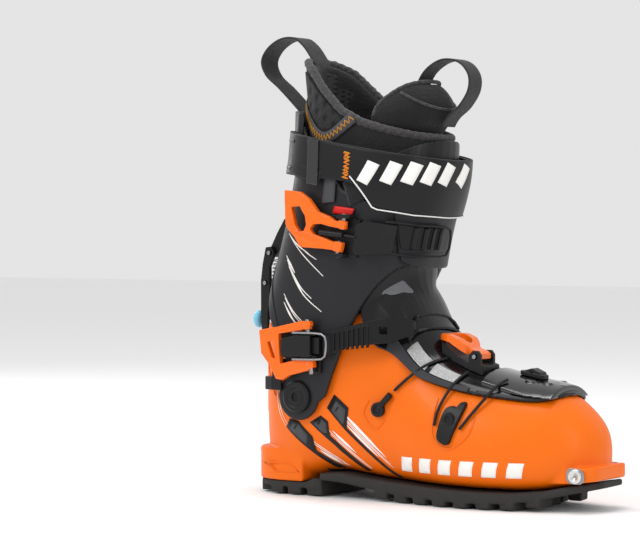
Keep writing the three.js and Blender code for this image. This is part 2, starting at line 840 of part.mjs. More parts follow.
const upperBasePlate = legWall(-3, -GAP, LEG_SIDES, 184, 218).intersect(
  sideSlab(
    shapeOf([
      [-62, 188],
      [-37, 184],
      [-33, 213],
      [-58, 217],
    ]),
    -70,
    0,
  ),
);
const upperBearing = (low, high) =>
  sideSlab(
    shapeOf([
      [-51 + (low - 201) * 0.21, low],
      [-39.5 + (low - 201) * 0.21, low],
      [-39.5 + (high - 201) * 0.21, high],
      [-51 + (high - 201) * 0.21, high],
    ]),
    -61.6,
    -52.5,
  );
const upperHole = pegAlong(UPPER, leanAxis, -30, 30, 2.1);
add(
  leg,
  "upper_base",
  union(upperBasePlate, upperBearing(184.4, 187.4), upperBearing(214, 217)).subtract(upperHole),
  BLACK,
);
add(leg, "upper_pin_top", shortPin(UPPER, leanAxis, 4.8, 17), STEEL);
add(leg, "upper_pin_low", shortPin(UPPER, leanAxis, -17, -4.2), STEEL);

const upperLever = new THREE.Group();
upperLever.position.set(UPPER.x, UPPER.y, UPPER.z);
leg.add(upperLever);

function upperLeverShape() {
  const outline = [
    [-54, 35],
    [-37.5, 33.5],
    [-28.5, 28],
    [-20.5, 18.3],
    [-10, 14.5],
    [-5, 11.2],
    [5, 10.6],
    [4.6, 4.6],
    [-10, 7.2],
    [-17.5, 9],
    [-24.4, 8.6],
    [-27.6, 5],
    [-24.4, 1.2],
    [-17, -0.8],
    [-6, -4.6],
    [2.4, -5.6],
    [1, -11.8],
    [-15, -10],
    [-37, -8.8],
    [-43, -1.2],
    [-50.5, 5],
    [-53, 9],
  ];
  const window = [
    [-46.5, 22],
    [-37.5, 22.5],
    [-32, 14.5],
    [-31, 8],
    [-33.5, 3.6],
    [-38.5, 3.2],
    [-42.5, 8],
  ];
  return shapeOf(outline, window);
}

// The lever's plate is bent round the leg: its handle lies further in than its fork.
function bentPlate(shape, thickness, from, amount) {
  const options = { depth: thickness, bevelEnabled: false, curveSegments: 6 };
  const geometry = new THREE.ExtrudeGeometry(shape, options);
  geometry.rotateX(Math.PI / 2);
  geometry.translate(0, thickness / 2, 0);
  const points = geometry.attributes.position;
  for (let i = 0; i < points.count; i += 1) {
    const reach = Math.max(from - points.getX(i), 0);
    points.setY(i, points.getY(i) + amount * reach ** 2);
  }
  return solid(geometry);
}

const upperPlate = bentPlate(upperLeverShape(), 4.8, -22, 0.0042);
const bosses = union(
  peg([-2.6, 0, -12.2], [-0.98, 0, -4.6], 3.7, 12),
  peg([1.1, 0, 5.2], [2.4, 0, 11.4], 3.7, 12),
);
const pinHole = peg([-6.3, 0, -30], [6.3, 0, 30], 2.1, 12);
const upperSolid = union(upperPlate, bosses).subtract(pinHole);
add(upperLever, "upper_lever", upperSolid, ORANGE_METAL);

const catchAt = new THREE.Vector3(UPPER.x - UPPER_LINK, UPPER.y, UPPER.z + 3);
const upperCatch = new THREE.Group();
leg.add(upperCatch);
const tubeEnd = [-44, UPPER.y, 201.4];
const barrel = peg([catchAt.x + 2.6, catchAt.y, catchAt.z - 0.4], tubeEnd, 2.5, 12);
add(upperCatch, "upper_barrel", barrel, DARK_STEEL);

const hookPlateSide = shapeOf([
  [-36.5, 189],
  [-33.5, 209],
  [-26, 212],
  [-4.5, 208.5],
  [-10, 187],
  [-32, 186.2],
]);
const HOOK_LIFT = 9.2;
const hookPlate = legWall(-HOOK_LIFT, -(HOOK_LIFT - 2.6), LEG_SIDES, 180, 218).intersect(
  sideSlab(hookPlateSide, -80, 0),
);
const wireSide = (x, z) => {
  const across = Math.min((x - legMiddle(z)) / (legDepth(z) + HOOK_LIFT - 1.2), 0.999);
  const round = legRound(z);
  return [x, -(legWidth(z) + HOOK_LIFT - 1.2) * (1 - Math.abs(across) ** round) ** (1 / round), z];
};
const hookWire = wire(
  [
    wireSide(-12, 211.4),
    wireSide(-4, 210.6),
    wireSide(5, 208.8),
    [10, -12, 208],
    [12.2, -1, 207.4],
    [12.6, 4.4, 205.4],
    [11.6, 5.4, 196],
    [10, 4.4, 187.2],
    [9.4, -1, 185],
    [7.4, -12, 184.8],
    wireSide(2, 185),
    wireSide(-6, 186.4),
    wireSide(-13, 188.4),
  ],
  1.1,
  20,
  false,
  6,
);
const hookRod = peg([-43.2, UPPER.y, 201.2], [-33, UPPER.y + 0.2, 199.8], 1.2, 8);
add(upperCatch, "upper_hook", union(hookPlate, hookWire, hookRod), BLACK);

// ---------------------------------------------------------------- instep buckle, outer side
const INSTEP = { x: -75, y: -58.5, z: 116 }; // the lever's hinge
const instepAxis = new THREE.Vector3(-0.1, 0, 0.995).normalize();

const basePlan = shapeOf([
  [-124, -33],
  [-113.5, -40],
  [-113.5, -52.4],
  [-105, -52.4],
  [-105, -54.2],
  [-114, -54.2],
  [-122, -51],
  [-126, -45],
]);
const baseArm = planSlab(basePlan, 81.5, 91.5).subtract(footForm(-GAP, 24));
const baseEars = union(
  block([-113.5, -54.2, 83], [-105, -52.4, 105.6]),
  block([-110, -54.2, 96], [-68, -52.4, 106]),
  block([-81, -61.5, 107.2], [-68, -53, 109.6]),
  block([-82, -61.5, 124.6], [-69, -53, 127.2]),
  block([-82, -54.2, 96], [-68, -52.4, 127.2]),
);
const instepHole = pegAlong(INSTEP, instepAxis, -30, 30, 2.1);
add(foot, "instep_base", union(baseArm, baseEars).subtract(instepHole), BLACK);
add(foot, "instep_pin_top", shortPin(INSTEP, instepAxis, 8, 21), STEEL);
add(foot, "instep_pin_low", shortPin(INSTEP, instepAxis, -21, -5.8), STEEL);

const instepLever = new THREE.Group();
instepLever.position.set(INSTEP.x, INSTEP.y, INSTEP.z);
foot.add(instepLever);

function instepLeverShape() {
  const outline = [
    [-46, 12],
    [-37, 13.5],
    [-30, 14.6],
    [-6, 19.8],
    [1.6, 19.8],
    [2.4, 16],
    [-4, 13.6],
    [-6, 12.4],
    [-27.5, 9.6],
    [-26, -13.6],
    [-10, -9.8],
    [4.6, -10.4],
    [5.2, -15.2],
    [0, -18],
    [-18, -22.4],
    [-24, -26],
    [-30, -25.4],
    [-36, -15],
    [-44, -6],
  ];
  const window = [
    [-38.5, 3],
    [-31.5, 4],
    [-30.5, -10.5],
    [-34, -9],
  ];
  return shapeOf(outline, window);
}

const instepPlate = sideSlab(instepLeverShape(), -2.4, 2.4);
const instepBosses = union(
  peg([-1.4, 0, 13.2], [-2, 0, 19.4], 3.5, 12),
  peg([1.5, 0, -14.2], [1.1, 0, -10], 3.5, 12),
);
const instepPinHole = peg([3, 0, -30], [-3, 0, 30], 2.1, 12);
add(instepLever, "instep_lever", union(instepPlate, instepBosses).subtract(instepPinHole), ORANGE_METAL);

const catchSide = shapeOf([
  [-99, 107.4],
  [-99, 122],
  [-84.5, 125.6],
  [-84.5, 123.6],
  [-65, 123.2],
  [-65, 110.6],
  [-84.5, 110.6],
  [-84.5, 107.4],
]);
const lidSide = shapeOf([
  [-98, 108.6],
  [-98, 122],
  [-84, 124.8],
  [-71, 124.8],
  [-71, 108.6],
]);
const catchBody = sideSlab(catchSide, -60.5, -56.6);
const catchLid = sideSlab(lidSide, -64.2, -62);
const instepCatch = new THREE.Group();
foot.add(instepCatch);
const catchJoin = block([-96, -62.5, 110], [-85.5, -60, 121]);
add(instepCatch, "instep_catch", union(catchBody, catchLid, catchJoin), BLACK);
const bail = wire(
  [
    [-88, -62.8, 126.6],
    [-76, -63, 126.7],
    [-66, -62.8, 126.6],
    [-59, -62.6, 125.4],
    [-57, -62.6, 121.6],
    [-57.4, -62.6, 112],
    [-59, -62.6, 108],
    [-66, -62.8, 106.8],
    [-76, -63, 106.6],
    [-88, -62.8, 106.4],
  ],
  0.9,
  20,
  false,
  6,
);
add(instepCatch, "instep_bail", bail, STEEL);

// The strap that the instep buckle pulls: ribbed band, then a wider end held by wires over the instep.
const STRAP_OFF = 55.2;
const strapSide = shapeOf([
  [-63.5, 111.5],
  [-63.5, 123.5],
  [-62, 127.2],
  [-39, 132.6],
  [-14, 138.6],
  [4, 139.4],
  [9, 137],
  [9, 126.6],
  [-6, 120.4],
  [-24, 118.8],
  [-39, 117],
  [-50, 112.6],
  [-62, 110],
]);
const strapHole = block([-14, -80, 127], [-8, 0, 132.6]);
function strapWall(inner, thick) {
  const outline = new THREE.Shape();
  const path = (off) => [
    [-70, -STRAP_OFF - off],
    [-40, -STRAP_OFF - off],
    [-24, -54.4 - off],
    [-10, -51 - off * 1.02],
    [2, -45 - off * 1.1],
    [12, -37 - off * 1.2],
  ];
  [...path(inner), ...path(inner + thick).reverse()].forEach(([x, y], i) => {
    if (i === 0) {
      outline.moveTo(x, y);
    } else {
      outline.lineTo(x, y);
    }
  });
  return planSlab(outline, 100, 150);
}
const ribs = [];
for (let i = 0; i < 8; i += 1) {
  const x = -53.5 + i * 4.3;
  const rib = shapeOf([
    [x, 113 + i * 0.5],
    [x + 2, 113.6 + i * 0.5],
    [x + 2, 127.4 + i * 0.9],
    [x, 127 + i * 0.9],
  ]);
  ribs.push(sideSlab(rib, -70, -30));
}
const ladder = strapWall(0, 3)
  .intersect(sideSlab(strapSide, -80, 0))
  .subtract(strapHole)
  .add(strapWall(2.8, 1.6).intersect(union(...ribs)));
add(foot, "ladder_strap", ladder, BLACK);

// A point on the shell's outside at x and height z, pushed out by lift; side is -1 for the outer side.
function onShell(x, z, side, lift = 0) {
  const round = footRound(x);
  const middle = footWidest(x);
  const share = (z - middle) / (footCrest(x) + lift - middle);
  const half = footWidth(x) * (1 + lift / HALF_WIDTH);
  const y = half * (1 - Math.min(Math.abs(share), 0.999) ** round) ** (1 / round);
  return [x, footMiddle(x) + side * y, z];
}

// The furthest forward point at y and height z that stands lift off the shell's form.
function frontOf(y, z, lift) {
  const side = y < 0 ? -1 : 1;
  let x = 40;
  while (x > -60) {
    const edge = onShell(x, z, side, lift)[1];
    if (z < footCrest(x) + lift && Math.abs(edge - footMiddle(x)) >= Math.abs(y)) {
      break;
    }
    x -= 0.5;
  }
  return [x, y, z];
}

const WIRE_LIFT = 7.4; // over the tongue
const UPPER_WIRE = [
  [10.4, -38.6, 138],
  frontOf(-26, 140, WIRE_LIFT + 2),
  frontOf(-12, 141.4, WIRE_LIFT),
  frontOf(2, 141, WIRE_LIFT),
  frontOf(16, 138, WIRE_LIFT),
  frontOf(30, 129, WIRE_LIFT),
  onShell(-16, 117, 1, 5),
  onShell(-32, 105, 1, 4),
  [-44, 51.4, 98],
  [-53, 54, 92.6],
];
const LOWER_WIRE = [
  [10.4, -38.6, 129.4],
  frontOf(-26, 130, WIRE_LIFT + 2),
  frontOf(-12, 131, WIRE_LIFT),
  frontOf(2, 130.6, WIRE_LIFT),
  frontOf(16, 128, WIRE_LIFT),
  frontOf(31, 119, WIRE_LIFT),
  onShell(-14, 110, 1, 5),
  onShell(-32, 99, 1, 4),
  [-44, 51.4, 93],
  [-53, 54, 88.6],
];
function anchorShape() {
  const shape = new THREE.Shape();
  shape.absarc(PIVOT.x, PIVOT.z, 15.4, 0.9, TURN + 0.1, false);
  shape.lineTo(-60, 84);
  shape.lineTo(-51, 86);
  shape.lineTo(-50.4, 93);
  shape.lineTo(-57, 94.4);
  const ring = new THREE.Path();
  ring.absarc(PIVOT.x, PIVOT.z, 13.2, 0, TURN, true);
  shape.holes.push(ring);
  return shape;
}
const anchor = sideSlab(anchorShape(), 52.3, 55.4);
const wireSet = union(
  wire(UPPER_WIRE, 1, 18, false, 6),
  wire(LOWER_WIRE, 1, 18, false, 6),
  anchor,
);
add(foot, "strap_wires", wireSet, DARK_STEEL);

// ---------------------------------------------------------------- forefoot cables and buckle
// The way straight out of the shell there.
function outOfShell(x, z, side) {
  const [a, b, c] = [onShell(x, z, side), onShell(x, z + 2, side), onShell(x + 4, z, side)];
  const up = new THREE.Vector3(...b).sub(new THREE.Vector3(...a));
  const ahead = new THREE.Vector3(...c).sub(new THREE.Vector3(...a));
  const out = side < 0 ? ahead.cross(up) : up.cross(ahead);
  return out.normalize();
}

function screwHead(x, z, side, radius, lift) {
  const out = outOfShell(x, z, side);
  const at = new THREE.Vector3(...onShell(x, z, side)).addScaledVector(out, lift);
  const rows = [
    [0, 0],
    [radius, 0],
    [radius, radius * 0.3],
    [radius * 0.7, radius * 0.6],
    [radius * 0.42, radius * 0.6],
    [radius * 0.38, radius * 0.25],
    [0, radius * 0.25],
  ];
  return turned(rows, at.toArray(), out.toArray(), 12);
}

const EYELET = { x: -20, z: 69.5 };
const GUIDE = { x: 43, z: 63 };
const swollenThin = footForm(-3.4, 26);
const swollenGap = footForm(-GAP, 26);

// A flat tab on the shell's side: its outline seen from the side, as thick as the space between two forms.
function shellTab(points, side, outer = swollenThin) {
  const [low, high] = side < 0 ? [-80, 0] : [0, 80];
  return outer.subtract(swollenGap).intersect(sideSlab(shapeOf(points), low, high));
}

const eyeletTab = shellTab(
  [
    [EYELET.x - 5, EYELET.z - 2],
    [EYELET.x - 2, EYELET.z - 5.4],
    [EYELET.x + 3, EYELET.z - 5],
    [EYELET.x + 6, EYELET.z],
    [EYELET.x + 13, EYELET.z + 11],
    [EYELET.x + 9.4, EYELET.z + 14],
    [EYELET.x + 1, EYELET.z + 5.4],
    [EYELET.x - 4, EYELET.z + 4],
  ],
  -1,
);
add(foot, "cable_eyelet", union(eyeletTab, screwHead(EYELET.x, EYELET.z, -1, 4.2, 2.2)), DARK_STEEL);

const guideTab = shellTab(
  [
    [GUIDE.x - 8, GUIDE.z - 11],
    [GUIDE.x + 3, GUIDE.z - 13.5],
    [GUIDE.x + 8, GUIDE.z + 1],
    [GUIDE.x + 10, GUIDE.z + 9],
    [GUIDE.x + 7, GUIDE.z + 13],
    [GUIDE.x + 3, GUIDE.z + 8],
    [GUIDE.x - 4, GUIDE.z + 7],
    [GUIDE.x - 6, GUIDE.z],
  ],
  -1,
);
add(foot, "cable_guide", union(guideTab, screwHead(GUIDE.x, GUIDE.z, -1, 4.4, 2.2)), BLACK);

const BRACKET = { x: 34, z: 70 };
const bracketTab = shellTab(
  [
    [BRACKET.x - 7, BRACKET.z - 6],
    [BRACKET.x, BRACKET.z - 10],
    [BRACKET.x + 6, BRACKET.z - 5],
    [BRACKET.x + 7, BRACKET.z + 10],
    [BRACKET.x + 4, BRACKET.z + 17],
    [BRACKET.x - 6, BRACKET.z + 17],
    [BRACKET.x - 8, BRACKET.z + 8],
  ],
  1,
);
add(foot, "medial_bracket", union(bracketTab, screwHead(BRACKET.x, BRACKET.z, 1, 4.2, 2.2)), BLACK);

function lifted(x, z, side, lift) {
  const at = new THREE.Vector3(...onShell(x, z, side));
  return at.addScaledVector(outOfShell(x, z, side), lift).toArray();
}

const CABLE_LIFT = 2; // over the shell
const CABLE_HIGH = 4.9; // over the tongue's edge
function cable(points) {
  return wire(
    points.map(([x, z, lift]) => lifted(x, z, -1, lift)),
    0.9,
    10,
    false,
    6,
  );
}
const rearCable = cable([
  [-5.4, 84.4, CABLE_LIFT],
  [0, 89.6, CABLE_LIFT],
  [7, 95.6, 3],
  [13.6, 100.4, 4.4],
  [20, 103.6, CABLE_HIGH],
  [25, 105.2, CABLE_HIGH],
]);
add(foot, "cable_rear", rearCable, DARK_STEEL);
const middleCable = cable([
  [33, 60, CABLE_LIFT],
  [34, 70, CABLE_LIFT],
  [37, 79, 2.6],
  [40.4, 87, 4.2],
  [43.4, 92, CABLE_HIGH],
  [45.4, 95, CABLE_HIGH],
]);
add(foot, "cable_middle", middleCable, DARK_STEEL);
const frontCable = cable([
  [54.6, 58, CABLE_LIFT],
  [60, 66, CABLE_LIFT],
  [65, 73, 2.8],
  [70, 80, 4.6],
  [74, 84.6, 7.2],
  [78, 87.6, 7.8],
]);
add(foot, "cable_front", frontCable, DARK_STEEL);

const hookBase = footForm(-8.4, 26)
  .subtract(footForm(-5.2 - GAP, 26))
  .intersect(planSlab(ledgePlan(79, 99, 5.5, 3), 60, 130));
const hookClaw = sideSlab(
  shapeOf([
    [84, 98],
    [84, 101],
    [89, 102.4],
    [96, 99.4],
    [97.4, 96],
    [95, 96],
    [93, 98],
    [88.6, 100],
    [87, 98],
  ]),
  -5,
  5,
);
add(foot, "toe_hook", hookBase.add(hookClaw), BLACK);

// Forefoot buckle across the instep; its lever turns up and forward about its front end.
const FORE = { x: 50, y: -11, z: 110.5 };
const foreSide = shapeOf([
  [21, 122],
  [21, 108],
  [57, 94],
  [57, 104],
  [52, 105.8],
  [44, 106.2],
  [34, 111],
  [24, 119],
]);
const foreBody = sideSlab(foreSide, FORE.y - 11, FORE.y + 14).subtract(footForm(-3 - GAP, 26));
const earSide = shapeOf([
  [45, 104],
  [45, 112],
  [48, 115],
  [52.6, 115],
  [55, 112],
  [55, 102],
]);
const foreEars = union(
  sideSlab(earSide, FORE.y - 11, FORE.y - 8.2),
  sideSlab(earSide, FORE.y + 8.2, FORE.y + 11),
);
const foreHole = peg([FORE.x, -40, FORE.z], [FORE.x, 30, FORE.z], 2, 12);
add(foot, "forefoot_base", union(foreBody, foreEars).subtract(foreHole), BLACK);
const forePin = peg([FORE.x, FORE.y - 12.4, FORE.z], [FORE.x, FORE.y + 12.4, FORE.z], 1.7, 12);
add(foot, "forefoot_pin", forePin, STEEL);

const foreLever = new THREE.Group();
foreLever.position.set(FORE.x, FORE.y, FORE.z);
foot.add(foreLever);

// A ring-shaped handle seen from above, with a hub round the pin, rising to the back.
function foreLeverSolid() {
  const outline = new THREE.Shape();
  outline.moveTo(4, 7.6);
  outline.lineTo(-6.4, 7.6);
  outline.bezierCurveTo(-9, 14, -13, 15, -18, 15);
  outline.bezierCurveTo(-27, 15, -34, 8.5, -34, 0);
  outline.bezierCurveTo(-34, -8.5, -27, -15, -18, -15);
  outline.bezierCurveTo(-13, -15, -9, -14, -6.4, -7.6);
  outline.lineTo(4, -7.6);
  const ringHole = new THREE.Path();
  ringHole.absellipse(-19, 0, 9.4, 8, 0, TURN, true, 0);
  outline.holes.push(ringHole);
  const flat = planSlab(outline, -20, 40);
  const side = shapeOf([
    [3.4, -1.8],
    [3.6, 2],
    [1, 3.8],
    [-5, 6],
    [-13, 13.4],
    [-20, 16.4],
    [-28, 17],
    [-35, 15],
    [-35, 11.4],
    [-28, 12],
    [-20, 10.4],
    [-13, 6],
    [-6, 0.4],
    [0, -2.8],
  ]);
  return flat.intersect(sideSlab(side, -20, 20)).subtract(peg([0, -30, 0], [0, 30, 0], 2, 12));
}
add(foreLever, "forefoot_lever", foreLeverSolid(), ORANGE_METAL);

// ---------------------------------------------------------------- power strap and webbing
const STRAP_IN = -4.4; // clear of the cuff and the spoiler
const bandSide = shapeOf([
  [-150, 252],
  [-104, 248],
  [-45, 242.5],
  [-36, 240],
  [-20, 223],
  [30, 211],
  [60, 209],
  [60, 252],
  [30, 256],
  [-60, 272],
  [-108, 281.5],
  [-150, 284],
]);
const powerStrap = legWall(STRAP_IN - 2.4, STRAP_IN, LEG_SIDES, 200, 290).intersect(
  sideSlab(bandSide, -80, 80),
);
add(leg, "power_strap", powerStrap, WEBBING);
const plateShape = shapeOf([
  [-13, 266],
  [-8, 275],
  [8, 275],
  [13, 266],
  [8, 257],
  [-8, 257],
]);
const strapPlate = frontSlab(plateShape, -160, -100).intersect(
  legWall(STRAP_IN - 5.6, STRAP_IN - 2.4 - GAP, LEG_SIDES, 250, 285),
);
const strapPlateScrew = turned(
  [[0, 0], [4, 0], [4, 1.4], [2.4, 2.2], [1.6, 2.2], [1.2, 1.2], [0, 1.2]],
  [-123.6, 0, 266],
  [-1, 0, 0],
  12,
);
add(leg, "strap_rear_plate", strapPlate.add(strapPlateScrew), BLACK);
const dRing = sideSlab(
  shapeOf(
    [
      [-40, 233],
      [-40, 274],
      [-22, 271],
      [-22, 230],
    ],
    [
      [-36, 237],
      [-36, 269.6],
      [-26, 267.6],
      [-26, 235],
    ],
  ),
  40,
  80,
).intersect(legWall(STRAP_IN - 7.4, STRAP_IN - 2.4 - GAP, LEG_SIDES, 220, 284));
add(leg, "strap_d_ring", dRing, BLACK);
const keeper = sideSlab(
  shapeOf([
    [-79, 241],
    [-79, 275.6],
    [-68, 273.6],
    [-68, 239],
  ]),
  -80,
  -30,
).intersect(legWall(STRAP_IN - 4.4, STRAP_IN - 2.4 - GAP, LEG_SIDES, 220, 284));
add(leg, "strap_keeper", keeper, GLOSS);

// Pull loops: flat webbing bent over, standing on the liner's rim.
function loop(points, half, thick, direction) {
  const places = points.map((point) => new THREE.Vector3(...point));
  const route = new THREE.CatmullRomCurve3(places, false, "centripetal");
  const along3 = new THREE.Vector3(...direction).normalize();
  const rings = 16;
  const stations = Array.from({ length: rings + 1 }, (unused, i) => i / rings);
  const corners = [
    [1, 1],
    [-1, 1],
    [-1, -1],
    [1, -1],
  ];
  return skin(stations, 4, (t, angle) => {
    const [across, out] = corners[Math.round((angle / TURN) * 4) % 4];
    const way = route.getTangentAt(t);
    const normal = way.clone().cross(along3).normalize();
    return route
      .getPointAt(t)
      .addScaledVector(along3, across * half)
      .addScaledVector(normal, (out * thick) / 2);
  });
}
const rearLoop = loop(
  [
    [-112, 0, 342.4],
    [-115, 0, 351],
    [-124, 0, 356.6],
    [-137, 0, 356],
    [-149, 0, 349],
    [-154.6, 0, 339],
    [-150, 0, 328],
    [-138, 0, 318],
    [-126, 0, 308],
  ],
  11,
  1.6,
  [0, 1, 0],
);
add(leg, "rear_loop", rearLoop, WEBBING);
const frontLoop = loop(
  [
    [-9, 0, 316.4],
    [-2, 0, 328],
    [12, 0, 334.4],
    [28, 0, 332],
    [37, 0, 323],
    [36, 0, 310],
    [28, 0, 296],
    [18.4, 0, 284],
  ],
  9,
  1.6,
  [0, 1, 0],
);
add(leg, "front_loop", frontLoop, WEBBING);

// ---------------------------------------------------------------- walk mechanism on the heel's centre line
const WALK_TOP = { x: -146.5, z: 187 };
const WALK_MID = { x: -150.5, z: 163 };
const bracketSide = shapeOf([
  [-131.4, 214],
  [-135, 214],
  [-142, 203],
  [-148, 192],
  [-150, 187],
  [-148.4, 183.6],
  [-144.6, 183.6],
  [-139, 190],
  [-136.4, 196],
]);
const walkBracket = sideSlab(bracketSide, -7.4, 7.4)
  .subtract(legForm(-GAP, LEG_SIDES, 150, 290))
  .subtract(peg([WALK_TOP.x, -30, WALK_TOP.z], [WALK_TOP.x, 30, WALK_TOP.z], 2, 12));
const walkScrew = turned(
  [[0, 0], [4.4, 0], [4.4, 1.2], [2.6, 2], [1.6, 2], [1.2, 1], [0, 1]],
  [-138.4, 0, 207.6],
  [-1, 0, 0.5],
  12,
);
add(leg, "walk_bracket", walkBracket.add(walkScrew), BLACK);
add(leg, "walk_top_pin", peg([WALK_TOP.x, -13, WALK_TOP.z], [WALK_TOP.x, 13, WALK_TOP.z], 1.7, 12), STEEL);

const armSide = shapeOf([
  [-150.4, 191.4],
  [-145, 192],
  [-142.4, 188],
  [-143, 183.4],
  [-146.4, 176],
  [-146.4, 150],
  [-148.4, 138],
  [-148.4, 126],
  [-150, 122.6],
  [-154, 123.4],
  [-155, 140],
  [-155.2, 164],
  [-153.4, 178],
]);
const armHoles = union(
  peg([WALK_TOP.x, -30, WALK_TOP.z], [WALK_TOP.x, 30, WALK_TOP.z], 2, 12),
  peg([WALK_MID.x, -30, WALK_MID.z], [WALK_MID.x, 30, WALK_MID.z], 2, 12),
);
const lockPin = peg([-151.4, -12, 127], [-151.4, 12, 127], 1.7, 12);
const walkArms = union(sideSlab(armSide, -11.4, -8), sideSlab(armSide, 8, 11.4), lockPin).subtract(armHoles);
add(leg, "walk_arms", walkArms, BLACK);
add(leg, "walk_mid_pin", peg([WALK_MID.x, -13, WALK_MID.z], [WALK_MID.x, 13, WALK_MID.z], 1.7, 12), STEEL);

const springRows = [];
const springTurns = 5;
for (let i = 0; i <= springTurns * 7; i += 1) {
  const angle = (i / 7) * TURN;
  const z = 167 + (i / (springTurns * 7)) * 15;
  const x = WALK_MID.x + ((z - WALK_MID.z) / 24) * 4;
  springRows.push([x + 2.6 * Math.cos(angle), 2.6 * Math.sin(angle), z]);
}
add(leg, "walk_spring", wire(springRows, 0.5, 35, false, 4), STEEL);

const linkRod = union(
  peg([WALK_MID.x, -6.6, WALK_MID.z], [WALK_MID.x, 6.6, WALK_MID.z], 3.6, 12),
  peg([-150.6, 0, 161], [-150.9, 0, 136], 2, 10),
  block([-152.6, -5, 133.4], [-149, 5, 138]),
);
const knobStem = peg([-151, -4, 135.6], [-156.4, -4, 134.6], 1.8, 10);
const linkHole = peg([WALK_MID.x, -30, WALK_MID.z], [WALK_MID.x, 30, WALK_MID.z], 2, 12);
add(leg, "walk_lever", union(linkRod, knobStem).subtract(linkHole), DARK_STEEL);
const knob = turned(
  [
    [0, 0],
    [5, 0],
    [6.6, 1.2],
    [7.2, 3],
    [6.8, 5],
    [5, 6.4],
    [0, 6.8],
  ],
  [-156.9, -5.5, 134],
  [-1, -0.12, 0],
  14,
);
add(leg, "walk_knob", knob, BLUE);

// ---------------------------------------------------------------- placing
const box = new THREE.Box3().setFromObject(boot);
const middle = box.getCenter(new THREE.Vector3());
boot.position.set(-middle.x, -middle.y, -box.min.z);
export default boot;
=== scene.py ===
"""A right-foot alpine touring boot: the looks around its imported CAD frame.

Shapes are written in millimetres from the boot's own origin (mid sole, floor), and at() puts them in the row frame.
"""

import json
import math

import bmesh
import bpy
import numpy as np
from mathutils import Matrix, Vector

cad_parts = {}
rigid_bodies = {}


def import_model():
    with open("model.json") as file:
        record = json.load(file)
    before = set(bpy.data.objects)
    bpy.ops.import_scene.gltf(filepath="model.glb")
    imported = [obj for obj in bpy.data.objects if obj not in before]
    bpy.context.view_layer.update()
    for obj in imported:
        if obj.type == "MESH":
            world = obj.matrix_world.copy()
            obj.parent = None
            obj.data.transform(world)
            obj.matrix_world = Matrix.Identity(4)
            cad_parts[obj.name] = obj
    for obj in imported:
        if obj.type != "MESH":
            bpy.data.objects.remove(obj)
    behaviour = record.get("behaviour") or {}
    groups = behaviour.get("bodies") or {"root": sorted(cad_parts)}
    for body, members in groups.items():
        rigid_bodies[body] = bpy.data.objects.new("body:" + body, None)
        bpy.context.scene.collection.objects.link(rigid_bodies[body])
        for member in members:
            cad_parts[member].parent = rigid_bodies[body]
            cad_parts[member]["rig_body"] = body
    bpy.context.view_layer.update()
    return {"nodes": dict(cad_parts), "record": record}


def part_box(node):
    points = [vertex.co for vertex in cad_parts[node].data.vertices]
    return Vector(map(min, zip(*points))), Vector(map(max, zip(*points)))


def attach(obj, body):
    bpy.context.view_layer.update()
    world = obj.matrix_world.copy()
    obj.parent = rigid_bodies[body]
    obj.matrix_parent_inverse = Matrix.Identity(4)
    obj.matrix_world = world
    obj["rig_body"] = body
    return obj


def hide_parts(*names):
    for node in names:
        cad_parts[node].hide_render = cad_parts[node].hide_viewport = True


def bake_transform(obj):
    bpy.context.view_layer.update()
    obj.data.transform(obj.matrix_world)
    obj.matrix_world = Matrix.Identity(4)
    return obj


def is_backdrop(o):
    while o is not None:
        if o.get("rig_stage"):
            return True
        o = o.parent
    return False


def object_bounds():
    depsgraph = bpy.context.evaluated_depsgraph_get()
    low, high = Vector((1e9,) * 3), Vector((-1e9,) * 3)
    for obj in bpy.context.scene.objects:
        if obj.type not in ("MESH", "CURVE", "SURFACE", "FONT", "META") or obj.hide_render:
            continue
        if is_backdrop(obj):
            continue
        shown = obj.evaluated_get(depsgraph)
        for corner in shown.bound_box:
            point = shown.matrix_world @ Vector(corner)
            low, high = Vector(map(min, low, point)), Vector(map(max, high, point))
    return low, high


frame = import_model()

MM = 0.001
TURN = 2 * math.pi
WALK_MID = Vector((-150.5, 0, 163))  # centre of the walk mechanism's middle pin
SHIFT = sum(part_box("walk_mid_pin"), Vector()) / 2 / MM - WALK_MID
PIVOT_X, PIVOT_Z = -91, 77
LATERAL, MEDIAL = -1, 1


def at(x, y, z):
    """A point in the row frame, in metres."""
    return (Vector((x, y, z)) + SHIFT) * MM


# ------------------------------------------------------------------ the foot's and the leg's form
def smooth_table(rows):
    """One smooth function of the first column for each further column."""
    rows = np.array(rows, float)
    xs = rows[:, 0]
    last = len(xs) - 1
    before = np.maximum(np.arange(last + 1) - 1, 0)
    after = np.minimum(np.arange(last + 1) + 1, last)

    def column(k):
        ys = rows[:, k]
        slopes = (ys[after] - ys[before]) / (xs[after] - xs[before])

        def value(x):
            x = np.clip(x, xs[0], xs[-1])
            i = np.clip(np.searchsorted(xs, x) - 1, 0, last - 1)
            span = xs[i + 1] - xs[i]
            t = (x - xs[i]) / span
            return (
                ys[i] * (2 * t**3 - 3 * t**2 + 1)
                + slopes[i] * span * (t**3 - 2 * t**2 + t)
                + ys[i + 1] * (3 * t**2 - 2 * t**3)
                + slopes[i + 1] * span * (t**3 - t**2)
            )

        return value

    return [column(k) for k in range(1, rows.shape[1])]


